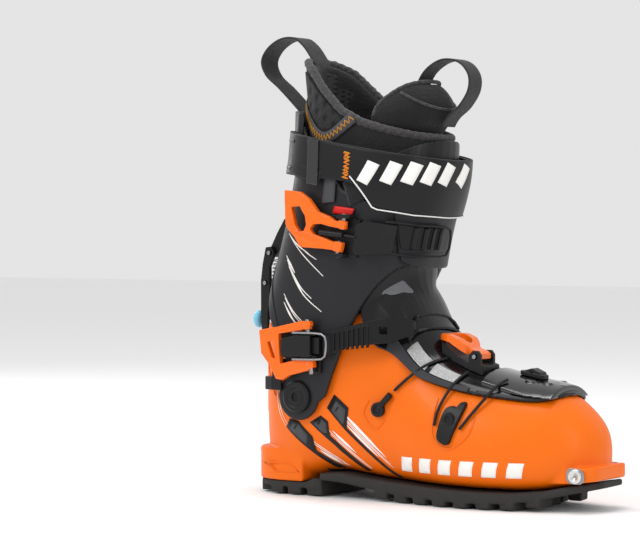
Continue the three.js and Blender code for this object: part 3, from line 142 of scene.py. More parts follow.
# Rows: x, half width, middle y, lowest z, z of the widest line, crest z, roundness of the upper half.
FOOT = [
    (-147, 0.6, 0, 12, 60, 205, 3.2),
    (-145, 11.5, 0, 11, 60, 215, 3.2),
    (-141, 20, 0, 10, 60, 222, 3.2),
    (-134, 28.5, 0, 10, 60, 226, 3.2),
    (-125, 35.5, 0, 10, 60, 228, 3.2),
    (-112, 42, 0, 10, 62, 228, 3.2),
    (-98, 46.2, 0, 12, 64, 226, 3.2),
    (-82, 46.8, 0, 17, 64, 222, 3.2),
    (-66, 45.8, 0, 19, 62, 214, 3.1),
    (-50, 44.5, 0, 17.6, 60, 203, 3),
    (-36, 44, 0, 16, 57, 188, 3),
    (-24, 44.3, 0, 15, 54, 175, 2.9),
    (-14, 45, 0, 14.5, 52, 165, 2.8),
    (-6, 45.8, 0, 14, 50, 154, 2.6),
    (-1, 46.5, 0, 13.8, 48, 144, 2.4),
    (3, 47.2, 0, 13.5, 46, 135.5, 2.3),
    (9, 48.3, 0, 13.2, 44, 126, 2.2),
    (18, 50, 0, 13, 42, 116, 2.2),
    (30, 52, 0.3, 12.6, 39, 107.5, 2.2),
    (44, 53.3, 0.8, 12.2, 37, 101, 2.2),
    (58, 53.5, 1.4, 12, 36, 96.6, 2.2),
    (74, 52.3, 2.2, 12, 36, 93, 2.2),
    (90, 49.3, 3, 12.2, 36, 89.8, 2.2),
    (104, 45, 3.6, 13.2, 37, 87.3, 2.2),
    (115, 40.5, 4, 14.8, 38, 84.2, 2.3),
    (124, 35.5, 4.4, 16.5, 39, 78.5, 2.3),
    (132, 29.8, 4.7, 18.4, 40, 71.5, 2.4),
    (138, 24, 4.9, 20, 40, 65, 2.5),
    (143, 16.5, 5, 21.3, 40, 57.5, 2.5),
    (146, 8.5, 5, 22, 40, 50.5, 2.5),
    (147, 0.6, 5, 22.4, 40, 46, 2.5),
]
foot_width, foot_middle, foot_bottom, foot_widest, foot_crest, foot_round = smooth_table(FOOT)
SHELL_HALF = 147
LOW_ROUND = 3.6

# Rows: z, middle x, half depth, half width, roundness.
LEG = [
    (45, -93, 62, 51.6, 3.2),
    (77, -90, 64, 51.6, 3.2),
    (110, -83.5, 65, 51.6, 3.1),
    (140, -77, 65, 51.4, 3),
    (159, -72.5, 65, 51.2, 2.8),
    (182, -67, 65, 50.8, 2.6),
    (200, -62.5, 65, 50.6, 2.5),
    (215, -58.5, 65, 50.6, 2.5),
    (230, -54.5, 65.5, 50.6, 2.5),
    (246, -51, 66, 50.4, 2.5),
    (262, -48.5, 66, 50, 2.4),
    (285, -48, 66, 49.4, 2.3),
    (305, -50, 65, 48.6, 2.2),
    (345, -56, 63.5, 47.5, 2.2),
]
leg_middle, leg_depth, leg_width, leg_round = smooth_table(LEG)


def power(value, exponent):
    return np.sign(value) * np.abs(value) ** exponent


def foot_surface(x, angle, inset=0.0, floor=None):
    """Points of the foot form, drawn in by inset: angle 0 is the inner side and a quarter turn the crest."""
    x, angle = np.broadcast_arrays(np.asarray(x, float), np.asarray(angle, float))
    floor = inset if floor is None else floor
    c, s = np.cos(angle), np.sin(angle)
    upper = s >= 0
    roundness = np.where(upper, foot_round(x), LOW_ROUND)
    middle = foot_widest(x)
    bottom = foot_bottom(x) + floor
    rise = np.where(upper, foot_crest(x) - inset - middle, middle - bottom)
    z = middle + rise * power(s, 2 / roundness)
    share = np.clip((z - bottom) / (middle - bottom), 0, 1)
    share = share * share * (3 - 2 * share)
    low = np.where(x < -60, 0.84, 0.88)
    half = foot_width(x) * (1 - inset / 50) * (low + (1 - low) * share)
    y = foot_middle(x) + half * power(c, 2 / roundness)
    return np.stack([x * (SHELL_HALF - inset) / SHELL_HALF, y, z], -1)


def leg_surface(z, angle, inset=0.0):
    """Points of the leg form, drawn in by inset: angle 0 is the front and a quarter turn the inner side."""
    z, angle = np.broadcast_arrays(np.asarray(z, float), np.asarray(angle, float))
    roundness = leg_round(z)
    x = leg_middle(z) + (leg_depth(z) - inset) * power(np.cos(angle), 2 / roundness)
    y = (leg_width(z) - inset) * power(np.sin(angle), 2 / roundness)
    return np.stack([x, y, z], -1)


# ------------------------------------------------------------------ mesh helpers
def new_object(name, points, faces):
    mesh = bpy.data.meshes.new(name)
    mesh.from_pydata([at(*p) for p in points], [], faces)
    mesh.validate()
    shape = bmesh.new()
    shape.from_mesh(mesh)
    bmesh.ops.recalc_face_normals(shape, faces=shape.faces)
    shape.to_mesh(mesh)
    shape.free()
    thing = bpy.data.objects.new(name, mesh)
    bpy.context.scene.collection.objects.link(thing)
    return thing


def skin(rings):
    """A closed skin over an array of rings, capped at both ends."""
    count, sides = rings.shape[:2]
    points = [tuple(p) for ring in rings for p in ring]
    faces = []
    for i in range(count - 1):
        for k in range(sides):
            a, b = i * sides + k, i * sides + (k + 1) % sides
            faces.append((a, b, b + sides, a + sides))
    for i in (0, count - 1):
        points.append(tuple(rings[i].mean(0)))
        for k in range(sides):
            faces.append((i * sides + k, i * sides + (k + 1) % sides, len(points) - 1))
    return new_object("skin", points, faces)


def foot_form(inset=0.0, floor=None, sides=112, count=130):
    turn = np.linspace(math.pi, 0, count)
    stations = SHELL_HALF * 0.9998 * np.cos(turn)
    angles = np.arange(sides) / sides * TURN
    return skin(foot_surface(stations[:, None], angles[None, :], inset, floor))


def leg_form(inset, low, high, sides=120, count=60):
    heights = np.linspace(low, high, count)
    angles = np.arange(sides) / sides * TURN
    return skin(leg_surface(heights[:, None], angles[None, :], inset))


def slab(outline, axis, low, high):
    """An outline made solid along an axis: (x, z) for Y, (x, y) for Z, (y, z) for X."""
    place = {
        "X": lambda u, v, w: (w, u, v),
        "Y": lambda u, v, w: (u, w, v),
        "Z": lambda u, v, w: (u, v, w),
    }[axis]
    n = len(outline)
    points = [place(u, v, w) for w in (low, high) for u, v in outline]
    faces = [tuple(range(n)), tuple(range(n, 2 * n))]
    faces += [(k, (k + 1) % n, n + (k + 1) % n, n + k) for k in range(n)]
    thing = new_object("slab", points, faces)
    shape = bmesh.new()
    shape.from_mesh(thing.data)
    bmesh.ops.triangulate(shape, faces=shape.faces)
    shape.to_mesh(thing.data)
    shape.free()
    return thing


def block(low, high):
    outline = [(low[0], low[1]), (high[0], low[1]), (high[0], high[1]), (low[0], high[1])]
    return slab(outline, "Z", low[2], high[2])


def rounded(outline, rounds=2):
    """The outline with its corners cut twice or so, which rounds them."""
    for _ in range(rounds):
        cut = []
        for a, b in zip(outline, outline[1:] + outline[:1], strict=True):
            cut.append((0.78 * a[0] + 0.22 * b[0], 0.78 * a[1] + 0.22 * b[1]))
            cut.append((0.22 * a[0] + 0.78 * b[0], 0.22 * a[1] + 0.78 * b[1]))
        outline = cut
    return outline


def disc(centre, radius, sides=40):
    turns = [k / sides * TURN for k in range(sides)]
    return [(centre[0] + radius * math.cos(t), centre[1] + radius * math.sin(t)) for t in turns]


def apply_all(thing):
    """Puts the modifiers' result in the mesh."""
    made = bpy.data.meshes.new_from_object(thing.evaluated_get(bpy.context.evaluated_depsgraph_get()))
    thing.modifiers.clear()
    thing.data = made
    return thing


def combine(thing, operation, *tools):
    for tool in tools:
        modifier = thing.modifiers.new("combine", "BOOLEAN")
        modifier.operation = operation
        modifier.solver = "MANIFOLD"
        modifier.object = tool
        apply_all(thing)
        bpy.data.objects.remove(tool)
    return thing


def soften(thing, voxel, rounds):
    """An even mesh with every edge rounded, as moulded plastic has."""
    remesh = thing.modifiers.new("remesh", "REMESH")
    remesh.mode = "VOXEL"
    remesh.voxel_size = voxel * MM
    smooth = thing.modifiers.new("smooth", "SMOOTH")
    smooth.iterations = rounds
    smooth.factor = 0.5
    return apply_all(thing)


def done(thing, name, body, look, slot, *nodes):
    """Names a finished piece, gives it its material and its CAD body, and hides the nodes that it stands for."""
    thing.name = name
    thing.data.name = name
    thing.data.materials.clear()
    thing.data.materials.append(look)
    thing.data.shade_smooth()
    if body:
        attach(thing, body)
    if nodes:
        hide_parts(*nodes)
    return thing


def grid_piece(points, loop=False):
    """An open sheet from an array of points, with a UV map in millimetres along and across it."""
    rows, columns = points.shape[:2]
    faces = []
    for i in range(rows - (0 if loop else 1)):
        for k in range(columns - 1):
            a, b = i * columns + k, ((i + 1) % rows) * columns + k
            faces.append((a, b, b + 1, a + 1))
    mesh = bpy.data.meshes.new("grid")
    mesh.from_pydata([at(*p) for row in points for p in row], [], faces)
    along = np.concatenate([[0], np.cumsum(np.linalg.norm(np.diff(points.mean(1), axis=0), axis=1))])
    if loop:
        along = np.concatenate([along, [along[-1] + np.linalg.norm(points[0].mean(0) - points[-1].mean(0))]])
    across = np.concatenate([[0], np.cumsum(np.linalg.norm(np.diff(points.mean(0), axis=0), axis=1))])
    uv = mesh.uv_layers.new(name="UVMap")
    n = 0
    for i in range(rows - (0 if loop else 1)):
        for k in range(columns - 1):
            for di, dk in ((0, 0), (1, 0), (1, 1), (0, 1)):
                uv.data[n].uv = (along[i + di], across[k + dk])
                n += 1
    thing = bpy.data.objects.new("grid", mesh)
    bpy.context.scene.collection.objects.link(thing)
    return thing


def thicken(thing, thickness, offset=1.0, bevel=0.0):
    solidify = thing.modifiers.new("thick", "SOLIDIFY")
    solidify.thickness = thickness * MM
    solidify.offset = offset
    solidify.use_even_offset = True
    if bevel:
        edge = thing.modifiers.new("bevel", "BEVEL")
        edge.width = bevel * MM
        edge.segments = 2
        edge.limit_method = "ANGLE"
    return apply_all(thing)


def curve_points(points, count, closed=False):
    """Evenly spaced points on a smooth curve through the given ones."""
    p = np.array(points, float)
    n = len(p)
    out = []
    segments = n if closed else n - 1
    for i in range(segments):
        if closed:
            a, b, c, d = p[(i - 1) % n], p[i], p[(i + 1) % n], p[(i + 2) % n]
        else:
            a, b, c, d = p[max(i - 1, 0)], p[i], p[i + 1], p[min(i + 2, n - 1)]
        for t in np.linspace(0, 1, 24, endpoint=False):
            out.append(
                0.5 * (2 * b + (c - a) * t + (2 * a - 5 * b + 4 * c - d) * t**2 + (3 * b - a - 3 * c + d) * t**3)
            )
    out.append(p[0] if closed else p[-1])
    out = np.array(out)
    length = np.concatenate([[0], np.cumsum(np.linalg.norm(np.diff(out, axis=0), axis=1))])
    wanted = np.linspace(0, length[-1], count + 1 if closed else count)
    made = np.stack([np.interp(wanted, length, out[:, k]) for k in range(out.shape[1])], -1)
    return made[:-1] if closed else made


def tube(path, radius, sides=10, closed=False, twist=None):
    """A round bar along a path; twist(i, k) can swell each point of its section."""
    path = np.asarray(path, float)
    n = len(path)
    ahead = np.roll(path, -1, 0) - np.roll(path, 1, 0)
    if not closed:
        ahead[0], ahead[-1] = path[1] - path[0], path[-1] - path[-2]
    ahead /= np.linalg.norm(ahead, axis=1)[:, None]
    side = np.cross(ahead[0], (0.3, 0.2, 1))
    rings = np.zeros((n, sides, 3))
    for i in range(n):
        side = side - ahead[i] * side.dot(ahead[i])
        side /= np.linalg.norm(side)
        other = np.cross(ahead[i], side)
        for k in range(sides):
            angle = k / sides * TURN
            r = radius * (twist(i, k) if twist else 1)
            rings[i, k] = path[i] + r * (math.cos(angle) * side + math.sin(angle) * other)
    if not closed:
        return skin(rings)
    points = [tuple(p) for ring in rings for p in ring]
    faces = []
    for i in range(n):
        for k in range(sides):
            a, b = i * sides + k, i * sides + (k + 1) % sides
            c, d = ((i + 1) % n) * sides + (k + 1) % sides, ((i + 1) % n) * sides + k
            faces.append((a, b, c, d))
    return new_object("tube", points, faces)


def joined(things):
    """Several meshes as one piece."""
    first, *others = things
    shape = bmesh.new()
    for thing in things:
        shape.from_mesh(thing.data)
    shape.to_mesh(first.data)
    shape.free()
    for thing in others:
        bpy.data.objects.remove(thing)
    return first


# ------------------------------------------------------------------ points on the two forms
def foot_y(x, z, lift=0.0, side=LATERAL):
    """The foot form's y at x and z, moved out by lift."""
    station = x * SHELL_HALF / (SHELL_HALF + lift)
    middle = float(foot_widest(station))
    if z >= middle:
        rise, roundness = float(foot_crest(station)) + lift - middle, float(foot_round(station))
    else:
        rise, roundness = middle - float(foot_bottom(station)), LOW_ROUND
    s = min(abs(z - middle) / rise, 1) ** (roundness / 2)
    bottom = float(foot_bottom(station))
    share = min(max((z - bottom) / (middle - bottom), 0), 1)
    share = share * share * (3 - 2 * share)
    low = 0.84 if station < -60 else 0.88
    half = float(foot_width(station)) * (1 + lift / 50) * (low + (1 - low) * share)
    return float(foot_middle(station)) + side * half * math.sqrt(max(1 - s * s, 0)) ** (2 / roundness)


def leg_y(x, z, lift=0.0, side=LATERAL):
    """The leg form's y at x and z, moved out by lift."""
    roundness = float(leg_round(z))
    across = min(abs(x - float(leg_middle(z))) / (float(leg_depth(z)) + lift), 1)
    c = across ** (roundness / 2)
    return side * (float(leg_width(z)) + lift) * math.sqrt(max(1 - c * c, 0)) ** (2 / roundness)


def stripe(line, widths, surface, lift=0.35, side=LATERAL, sink=0.5, count=40):
    """A thin raised line on a form, through (x, z) points; widths holds its width at both ends and the middle."""
    path = curve_points([(x, z, 0) for x, z in line], count)[:, :2]
    rings = []
    for i, (x, z) in enumerate(path):
        t = i / (count - 1)
        ahead = path[min(i + 1, count - 1)] - path[max(i - 1, 0)]
        ahead = ahead / np.linalg.norm(ahead)
        half = np.interp(t, np.linspace(0, 1, len(widths)), widths) / 2
        edges = [(x - ahead[1] * half * k, z + ahead[0] * half * k) for k in (-1, 0, 1)]
        top = [(u, surface(u, v, lift, side), v) for u, v in edges]
        low = [(u, surface(u, v, -sink, side), v) for u, v in reversed(edges)]
        rings.append(top + low)
    return skin(np.array(rings))


def tile(outline, form, lift, sink, low=-90, high=-10):
    """The part of a form's skin inside an outline seen from the side."""
    panel = combine(form(-lift), "DIFFERENCE", form(sink))
    return combine(panel, "INTERSECT", slab(outline, "Y", low, high))


# ------------------------------------------------------------------ materials
def srgb(r, g, b):
    def one(v):
        v /= 255
        return v / 12.92 if v <= 0.04045 else ((v + 0.055) / 1.055) ** 2.4

    return (one(r), one(g), one(b), 1)


class Look:
    """A material built up from procedural layers."""

    def __init__(self, name, colour, roughness=0.4, metallic=0.0, mottle=0.06, mottle_mm=30):
        self.material = bpy.data.materials.new(name)
        self.material.use_nodes = True
        self.tree = self.material.node_tree
        self.shader = self.tree.nodes["Principled BSDF"]
        self.place = self.tree.nodes.new("ShaderNodeTexCoord").outputs["Object"]
        self.set("Metallic", metallic)
        self.height = None
        dark = tuple(c * (1 - mottle) for c in colour[:3]) + (1,)
        light = tuple(min(c * (1 + mottle), 1) for c in colour[:3]) + (1,)
        self.colour = self.mix(self.noise(mottle_mm, 3), dark, light)
        spread = self.span(self.noise(mottle_mm * 0.4, 5), roughness * 0.82, min(roughness * 1.2, 1))
        self.link(spread, "Roughness")

    def set(self, socket, value):
        self.shader.inputs[socket].default_value = value

    def link(self, output, socket):
        self.tree.links.new(output, self.shader.inputs[socket])

    def noise(self, size_mm, detail=2.0, place=None):
        node = self.tree.nodes.new("ShaderNodeTexNoise")
        node.inputs["Scale"].default_value = 1 / (size_mm * MM)
        node.inputs["Detail"].default_value = detail
        self.tree.links.new(place or self.place, node.inputs["Vector"])
        return node.outputs["Fac"]

    def cells(self, size_mm, feature="F1", place=None, randomness=1.0):
        node = self.tree.nodes.new("ShaderNodeTexVoronoi")
        node.feature = feature
        node.inputs["Scale"].default_value = 1 / (size_mm * MM)
        node.inputs["Randomness"].default_value = randomness
        self.tree.links.new(place or self.place, node.inputs["Vector"])
        return node.outputs["Distance"]

    def turned(self, angles, scale=(1, 1, 1), place=None):
        node = self.tree.nodes.new("ShaderNodeMapping")
        node.inputs["Rotation"].default_value = angles
        node.inputs["Scale"].default_value = scale
        self.tree.links.new(place or self.place, node.inputs["Vector"])
        return node.outputs["Vector"]

    def uv(self):
        """Millimetres along and across a strip."""
        return self.tree.nodes.new("ShaderNodeUVMap").outputs["UV"]

    def waves(self, size, direction="X", place=None, distortion=0.0):
        """Soft stripes a size apart, in the units of place."""
        node = self.tree.nodes.new("ShaderNodeTexWave")
        node.bands_direction = direction
        node.inputs["Scale"].default_value = 2 * math.pi / (20 * size)
        node.inputs["Distortion"].default_value = distortion
        self.tree.links.new(place or self.place, node.inputs["Vector"])
        return node.outputs["Fac"]

    def span(self, value, low, high, start=0.0, end=1.0):
        node = self.tree.nodes.new("ShaderNodeMapRange")
        for k, number in zip(("From Min", "From Max", "To Min", "To Max"), (start, end, low, high), strict=True):
            node.inputs[k].default_value = number
        self.tree.links.new(value, node.inputs["Value"])
        return node.outputs["Result"]

    def sums(self, a, b, operation="ADD"):
        node = self.tree.nodes.new("ShaderNodeMath")
        node.operation = operation
        for k, value in enumerate((a, b)):
            if isinstance(value, float):
                node.inputs[k].default_value = value
            else:
                self.tree.links.new(value, node.inputs[k])
        return node.outputs[0]

    def mix(self, factor, a, b):
        node = self.tree.nodes.new("ShaderNodeMix")
        node.data_type = "RGBA"
        self.tree.links.new(factor, node.inputs["Factor"])
        for socket, value in zip(("A", "B"), (a, b), strict=True):
            target = [s for s in node.inputs if s.name == socket and s.type == "RGBA"][0]
            if isinstance(value, tuple):
                target.default_value = value
            else:
                self.tree.links.new(value, target)
        return [s for s in node.outputs if s.type == "RGBA"][0]

    def raise_by(self, value, depth_mm):
        """Adds a height to the bump, in millimetres."""
        scaled = self.sums(value, depth_mm * MM, "MULTIPLY")
        self.height = scaled if self.height is None else self.sums(self.height, scaled)
        return self

    def ready(self):
        self.link(self.colour, "Base Color")
        if self.height is not None:
            bump = self.tree.nodes.new("ShaderNodeBump")
            bump.inputs["Distance"].default_value = 1
            self.tree.links.new(self.height, bump.inputs["Height"])
            self.link(bump.outputs["Normal"], "Normal")
        return self.material


def moulded(name, colour, roughness, grain_mm=0.7, grain=0.012, coat=0.0, mottle=0.05, wave=0.0, shine=0.22):
    look = Look(name, colour, roughness, mottle=mottle)
    look.raise_by(look.noise(grain_mm, 3), grain)
    if wave:
        look.raise_by(look.noise(26, 1), wave)
    look.set("Specular IOR Level", shine)
    if coat:
        look.set("Coat Weight", coat)
        look.set("Coat Roughness", 0.12)
    return look.ready()


def metal(name, colour, roughness, grain=0.006):
    look = Look(name, colour, roughness, 1.0, mottle=0.1, mottle_mm=6)
    look.raise_by(look.noise(0.5, 4), grain)
    return look.ready()


def fabric(name, colour, size_mm, depth, fuzz=0.4, pattern="cells", other=None):
    look = Look(name, colour, 0.9, mottle=0.12, mottle_mm=14)
    look.set("Sheen Weight", 0.3 * fuzz)
    look.set("Sheen Roughness", 0.6)
    look.set("Specular IOR Level", 0.2)
    if pattern == "cells":
        relief = look.cells(size_mm)
    elif pattern == "hexes":
        waves = [look.waves(size_mm * MM, "X", look.turned((0, math.radians(a), 0))) for a in (0, 60, 120)]
        relief = look.sums(look.sums(waves[0], waves[1], "MAXIMUM"), waves[2], "MAXIMUM")
    else:
        relief = look.noise(size_mm, 6)
    look.raise_by(relief, depth)
    look.raise_by(look.noise(0.8, 4), 0.12)
    if other:
        look.colour = look.mix(look.span(relief, 0, 1, 0.45, 0.8), look.colour, other)
    return look.ready()


def woven(name, colour, pitch_mm=1.3, depth=0.25, gloss=0.75, light=None):
    """Ribbed webbing on a strip with a map in millimetres."""
    look = Look(name, colour, gloss, mottle=0.1, mottle_mm=9)
    look.set("Sheen Weight", 0.08)
    ribs = look.waves(pitch_mm, "X", look.uv())
    cross = look.waves(pitch_mm * 0.6, "Y", look.uv())
    relief = look.sums(ribs, cross, "MULTIPLY")
    look.raise_by(relief, depth)
    look.raise_by(look.noise(0.6, 4), 0.05)
    if light:
        look.colour = look.mix(relief, look.colour, light)
    return look.ready()


ORANGE = moulded("shell orange", srgb(234, 106, 0), 0.44, coat=0.05, wave=0.1)
LEVER = moulded("lever orange", srgb(240, 104, 6), 0.3, coat=0.35, grain=0.006)
CUFF = moulded("cuff black", srgb(33, 33, 36), 0.42, coat=0.04, wave=0.06)
SATIN = moulded("satin black", srgb(25, 25, 27), 0.38, grain=0.01)
GLOSS = moulded("gloss black", srgb(12, 12, 14), 0.16, grain=0.003, coat=0.6, shine=0.5)


def tongue_look():
    """Glossy over the foot and satin up the shin."""
    look = Look("tongue black", srgb(16, 16, 18), 0.2)
    split = look.tree.nodes.new("ShaderNodeSeparateXYZ")
    look.tree.links.new(look.place, split.inputs[0])
    by_height = look.span(split.outputs["Z"], 0.13, 0.34, 0.12, 0.165)
    rough = look.sums(by_height, look.span(look.noise(9), -0.02, 0.03))
    look.link(rough, "Roughness")
    look.raise_by(look.noise(0.7, 3), 0.004)
    look.set("Specular IOR Level", 0.25)
    look.set("Coat Weight", 0.12)
    look.set("Coat Roughness", 0.2)
    return look.ready()


TONGUE_BLACK = tongue_look()
STRAP = moulded("strap black", srgb(19, 19, 21), 0.33, grain=0.008)
RUBBER = moulded("sole rubber", srgb(50, 49, 48), 0.72, grain_mm=1.1, grain=0.05)
BOARD = moulded("board plastic", srgb(40, 40, 42), 0.55)
CHARCOAL = moulded("insert charcoal", srgb(70, 71, 74), 0.5, grain_mm=1.0, grain=0.02)
DARK_RIM = moulded("insert rim", srgb(30, 30, 32), 0.4)
WHITE = moulded("print white", srgb(238, 236, 232), 0.45, grain=0.002, mottle=0.02)
PINK_PRINT = moulded("print pale", srgb(252, 206, 178), 0.4, grain=0.002)
BLUE = moulded("knob blue", srgb(120, 196, 224), 0.35, coat=0.3)
RED_TAG = moulded("red tag", srgb(212, 38, 34), 0.45)
STEEL = metal("insert steel", srgb(214, 214, 212), 0.28)
SCREW = metal("screw steel", srgb(150, 150, 152), 0.32)
SCREW_DARK = metal("screw dark", srgb(74, 74, 77), 0.36)
WIRE = moulded("wire black", srgb(26, 26, 28), 0.38, grain_mm=0.5, grain=0.03)
LINER = fabric("liner fabric", srgb(21, 21, 23), 2.2, 0.35)
LINER_HEX = fabric("liner mesh", srgb(19, 19, 21), 9.5, 1.1, 0.3, "hexes", srgb(34, 34, 36))
LINER_INSIDE = fabric("liner lining", srgb(15, 15, 17), 3.4, 0.5, 0.35, "hexes", srgb(38, 38, 41))
FOOTBED_FOAM = fabric("footbed foam", srgb(58, 58, 60), 1.2, 0.2, 0.3, "noise")
FUZZ = fabric("grey binding", srgb(48, 46, 46), 1.3, 0.6, 0.6, "noise", srgb(84, 81, 80))
VELCRO = fabric("hook patch", srgb(20, 20, 22), 0.9, 0.5, 0.6)
GREY_FABRIC = fabric("tongue fabric", srgb(104, 105, 108), 1.4, 0.25, 0.4)
TAPE = woven("grey tape", srgb(66, 64, 68), 1.0, 0.2)
WEBBING = woven("webbing", srgb(17, 17, 18), 1.2, 0.22, 0.7, srgb(31, 31, 33))
STRAP_WEB = moulded("strap band", srgb(24, 24, 26), 0.36, grain_mm=0.9, grain=0.02)
YELLOW = moulded("thread yellow", srgb(206, 146, 40), 0.6, grain=0.02)
ORANGE_THREAD = moulded("thread orange", srgb(224, 104, 30), 0.6, grain=0.02)
TRIM = moulded("white trim", srgb(224, 224, 222), 0.5)

# ------------------------------------------------------------------ the lower shell
RIM = [
    (-175, 132), (-141, 132), (-131, 129), (-112, 121), (-84, 122), (-50, 138), (-9, 156), (9, 118),
    (18, 107), (30, 98.5), (54, 90), (83, 85.5), (103, 83.5), (112, 84.5), (115, 90),
]  # fmt: skip


def above_rim():
    return slab([*RIM, (115, 300), (-175, 300)], "Y", -90, 90)


def heel_plan():
    """The heel ledge seen from above."""
    back, radius, centre = -152, 38, -112
    left = [(-96, radius), (centre, radius)]
    for t in np.linspace(0, 1, 16)[1:]:
        a, b, c, d = (centre, radius), (centre - 24, radius), (back, radius * 0.72), (back, 0)
        weights = ((1 - t) ** 3, 3 * t * (1 - t) ** 2, 3 * t * t * (1 - t), t**3)
        left.append(tuple(sum(w * p[k] for w, p in zip(weights, (a, b, c, d), strict=True)) for k in (0, 1)))
    return left + [(x, -y) for x, y in reversed(left[:-1])]


def box_plan(back, front, half, corner, centre=0):
    corners = [(back, -half), (front, -half), (front, half), (back, half)]
    points = []
    for k, (x, y) in enumerate(corners):
        cx, cy = x + (corner if x == back else -corner), centre + y + (corner if y < 0 else -corner)
        for t in range(6):
            a = math.pi + k * math.pi / 2 + t / 5 * math.pi / 2
            points.append((cx + corner * math.cos(a), cy + corner * math.sin(a)))
    return points


def pivot_bore(radius=6.4):
    return slab(disc((PIVOT_X, PIVOT_Z), radius), "Y", -90, 90)


shell = foot_form(0)
combine(shell, "UNION", slab(heel_plan(), "Z", 10, 35), slab(box_plan(-148.8, -120, 13, 4), "Z", 60, 121))
toe = slab([(86, 17), (136, 20.5), (154, 23), (154, 33.5), (118, 29.5), (86, 27)], "Y", -60, 60)
combine(toe, "INTERSECT", slab(box_plan(88, 152, 30.5, 13, 4), "Z", 10, 40))
combine(shell, "UNION", toe)
combine(shell, "DIFFERENCE", foot_form(4, 7), above_rim(), block((-160, -14, 120), (-128, 14, 140)))
combine(shell, "DIFFERENCE", block((-160, -8.3, 12), (-147.5, 8.3, 33.3)), pivot_bore())
soften(shell, 1.25, 6)
done(shell, "shell_moulding", "shell", ORANGE, "shell_orange", "lower_shell")

# Three slanted inserts on the outer side, each a charcoal face in a darker rim, with long thin tails.
INSERTS = [
    [(-60.7, 79.4), (-48.4, 69.6), (-50.2, 54.2), (-8.2, 17.2), (-11.8, 17.5), (-52, 53), (-67, 69)],
    [(-72.7, 62.8), (-66.5, 58.5), (-65.8, 47.2), (-36.2, 21), (-41, 21.3), (-70.8, 46.9), (-82.7, 57.2)],
    [
        (-102.5, 59.3), (-93.6, 57.6), (-82.2, 46.2), (-81, 34.9),
        (-62.2, 22), (-69.7, 21.6), (-84.8, 33.7), (-107, 52.4),
    ],
]  # fmt: skip


def drawn_in(outline, share):
    centre = np.mean(outline, 0)
    return [tuple(centre + (np.array(p) - centre) * share) for p in outline]


# Each line is its offset from the tail, where it starts and ends along the tail, and its width.
SPEED_LINES = [
    [(1.8, -0.02, 0.6, 1.8), (3.5, -0.2, 0.86, 0.5), (4.6, -0.24, 0.8, 0.5), (6.6, -0.24, 0.7, 2.3)],
    [(1.8, 0.0, 0.98, 0.5), (3.0, -0.1, 1.0, 0.5), (5.0, -0.02, 0.6, 1.9)],
    [(2.2, 0.1, 0.95, 2.0), (4.0, -0.2, 1.1, 0.6), (5.4, -0.35, 1.2, 0.6)],
]  # fmt: skip


def beside(neck, tip, offset, share):
    """A point beside a tail, share of the way along it."""
    way = np.array(tip) - neck
    across = np.array((-way[1], way[0])) / np.linalg.norm(way)
    return tuple(np.array(neck) + way * share + across * offset)


for number, outline in enumerate(INSERTS):
    rim = tile(outline, lambda d: foot_form(d, sides=72, count=90), 0.8, 1.6)
    done(rim, f"shell_insert_rim_{number}", "shell", DARK_RIM, "satin_black")
    face_outline = drawn_in([*outline[:3], *outline[-2:]], 0.66)
    face = tile(face_outline, lambda d: foot_form(d, sides=72, count=90), 1.3, 1.2)
    done(face, f"shell_insert_{number}", "shell", CHARCOAL, "satin_black")
    x, z = np.mean(face_outline, 0)
    slit = stripe([(x - 3.6, z + 1.6), (x - 2.4, z + 3.4), (x - 1, z + 5)], (0.9, 1.1, 0.9), foot_y, 1.6)
    done(slit, f"shell_insert_slit_{number}", "shell", DARK_RIM, "satin_black")
    tail = 3 if len(outline) == 8 else 2
    lines = []
    for offset, start, end, wide in SPEED_LINES[number]:
        line = [beside(outline[tail], outline[tail + 1], offset, s) for s in (start, (start + end) / 2, end)]
        lines.append(stripe(line, (0.2, wide, wide, 0.2), foot_y, 0.5))
    done(joined(lines), f"shell_speed_lines_{number}", "shell", WHITE, "shell_orange")

# Plain slanted bars stand where the printed word was.
bars = []
for k in range(6):
    x = -4 + 18.6 * k
    outline = [(x, 23.5), (x + 11, 23.5), (x + 15, 35), (x + 4, 35)]
    bars.append(tile(outline, lambda d: foot_form(d, sides=72, count=120), 0.25, 0.5))
done(joined(bars), "shell_bars", "shell", WHITE, "shell_orange")

# Low ridges round the cable fittings, and the steps on the heel's side.
RIDGES = [
    [(31.5, 80), (30.5, 66), (32, 51), (46, 43.5), (62, 56), (65, 75.7)],
    [(-30, 76), (-34.5, 65), (-22, 55), (-6, 79)],
    [(-139, 110), (-128, 96), (-116, 84)],
    [(-139, 104), (-131, 88), (-122, 76)],
]
ridges = [stripe(line, (0.6, 1.6, 1.6, 0.6), foot_y, 0.55, count=70) for line in RIDGES]
ridges += [stripe(line, (0.6, 1.6, 1.6, 0.6), foot_y, 0.55, MEDIAL, count=70) for line in RIDGES[2:]]
done(joined(ridges), "shell_ridges", "shell", ORANGE, "shell_orange")
grooves = []
for side in (LATERAL, MEDIAL):
    corners = [(-132.6, 23.4), (-107, 23.4), (-99, 17), (-122, 17)]
    grooves.append(tube([(x, 37.8 * side, z) for x, z in corners], 0.7, 8, True))
done(joined(grooves), "heel_ledge_lines", "shell", ORANGE, "shell_orange")
outline = [(-110, 55.6), (-121, 40), (-104, 19), (-54, 19), (-52, 28), (-76, 74), (-91, 77)]
panel = tile(rounded(outline, 1), foot_form, 0.5, 0.8, 10, 90)
done(panel, "shell_panel_inner", "shell", CHARCOAL, "satin_black")
outline = [(-95, 10), (-85, 11.6), (-80.5, 20), (-62.5, 18), (-60, 15), (-80, 12)]
done(tile(outline, foot_form, 0.6, 0.8), "heel_block", "shell", RUBBER, "sole_rubber")
spine = slab(rounded([(-2.6, 92), (2.6, 92), (2.6, 120), (-2.6, 120)]), "X", -149.7, -147)
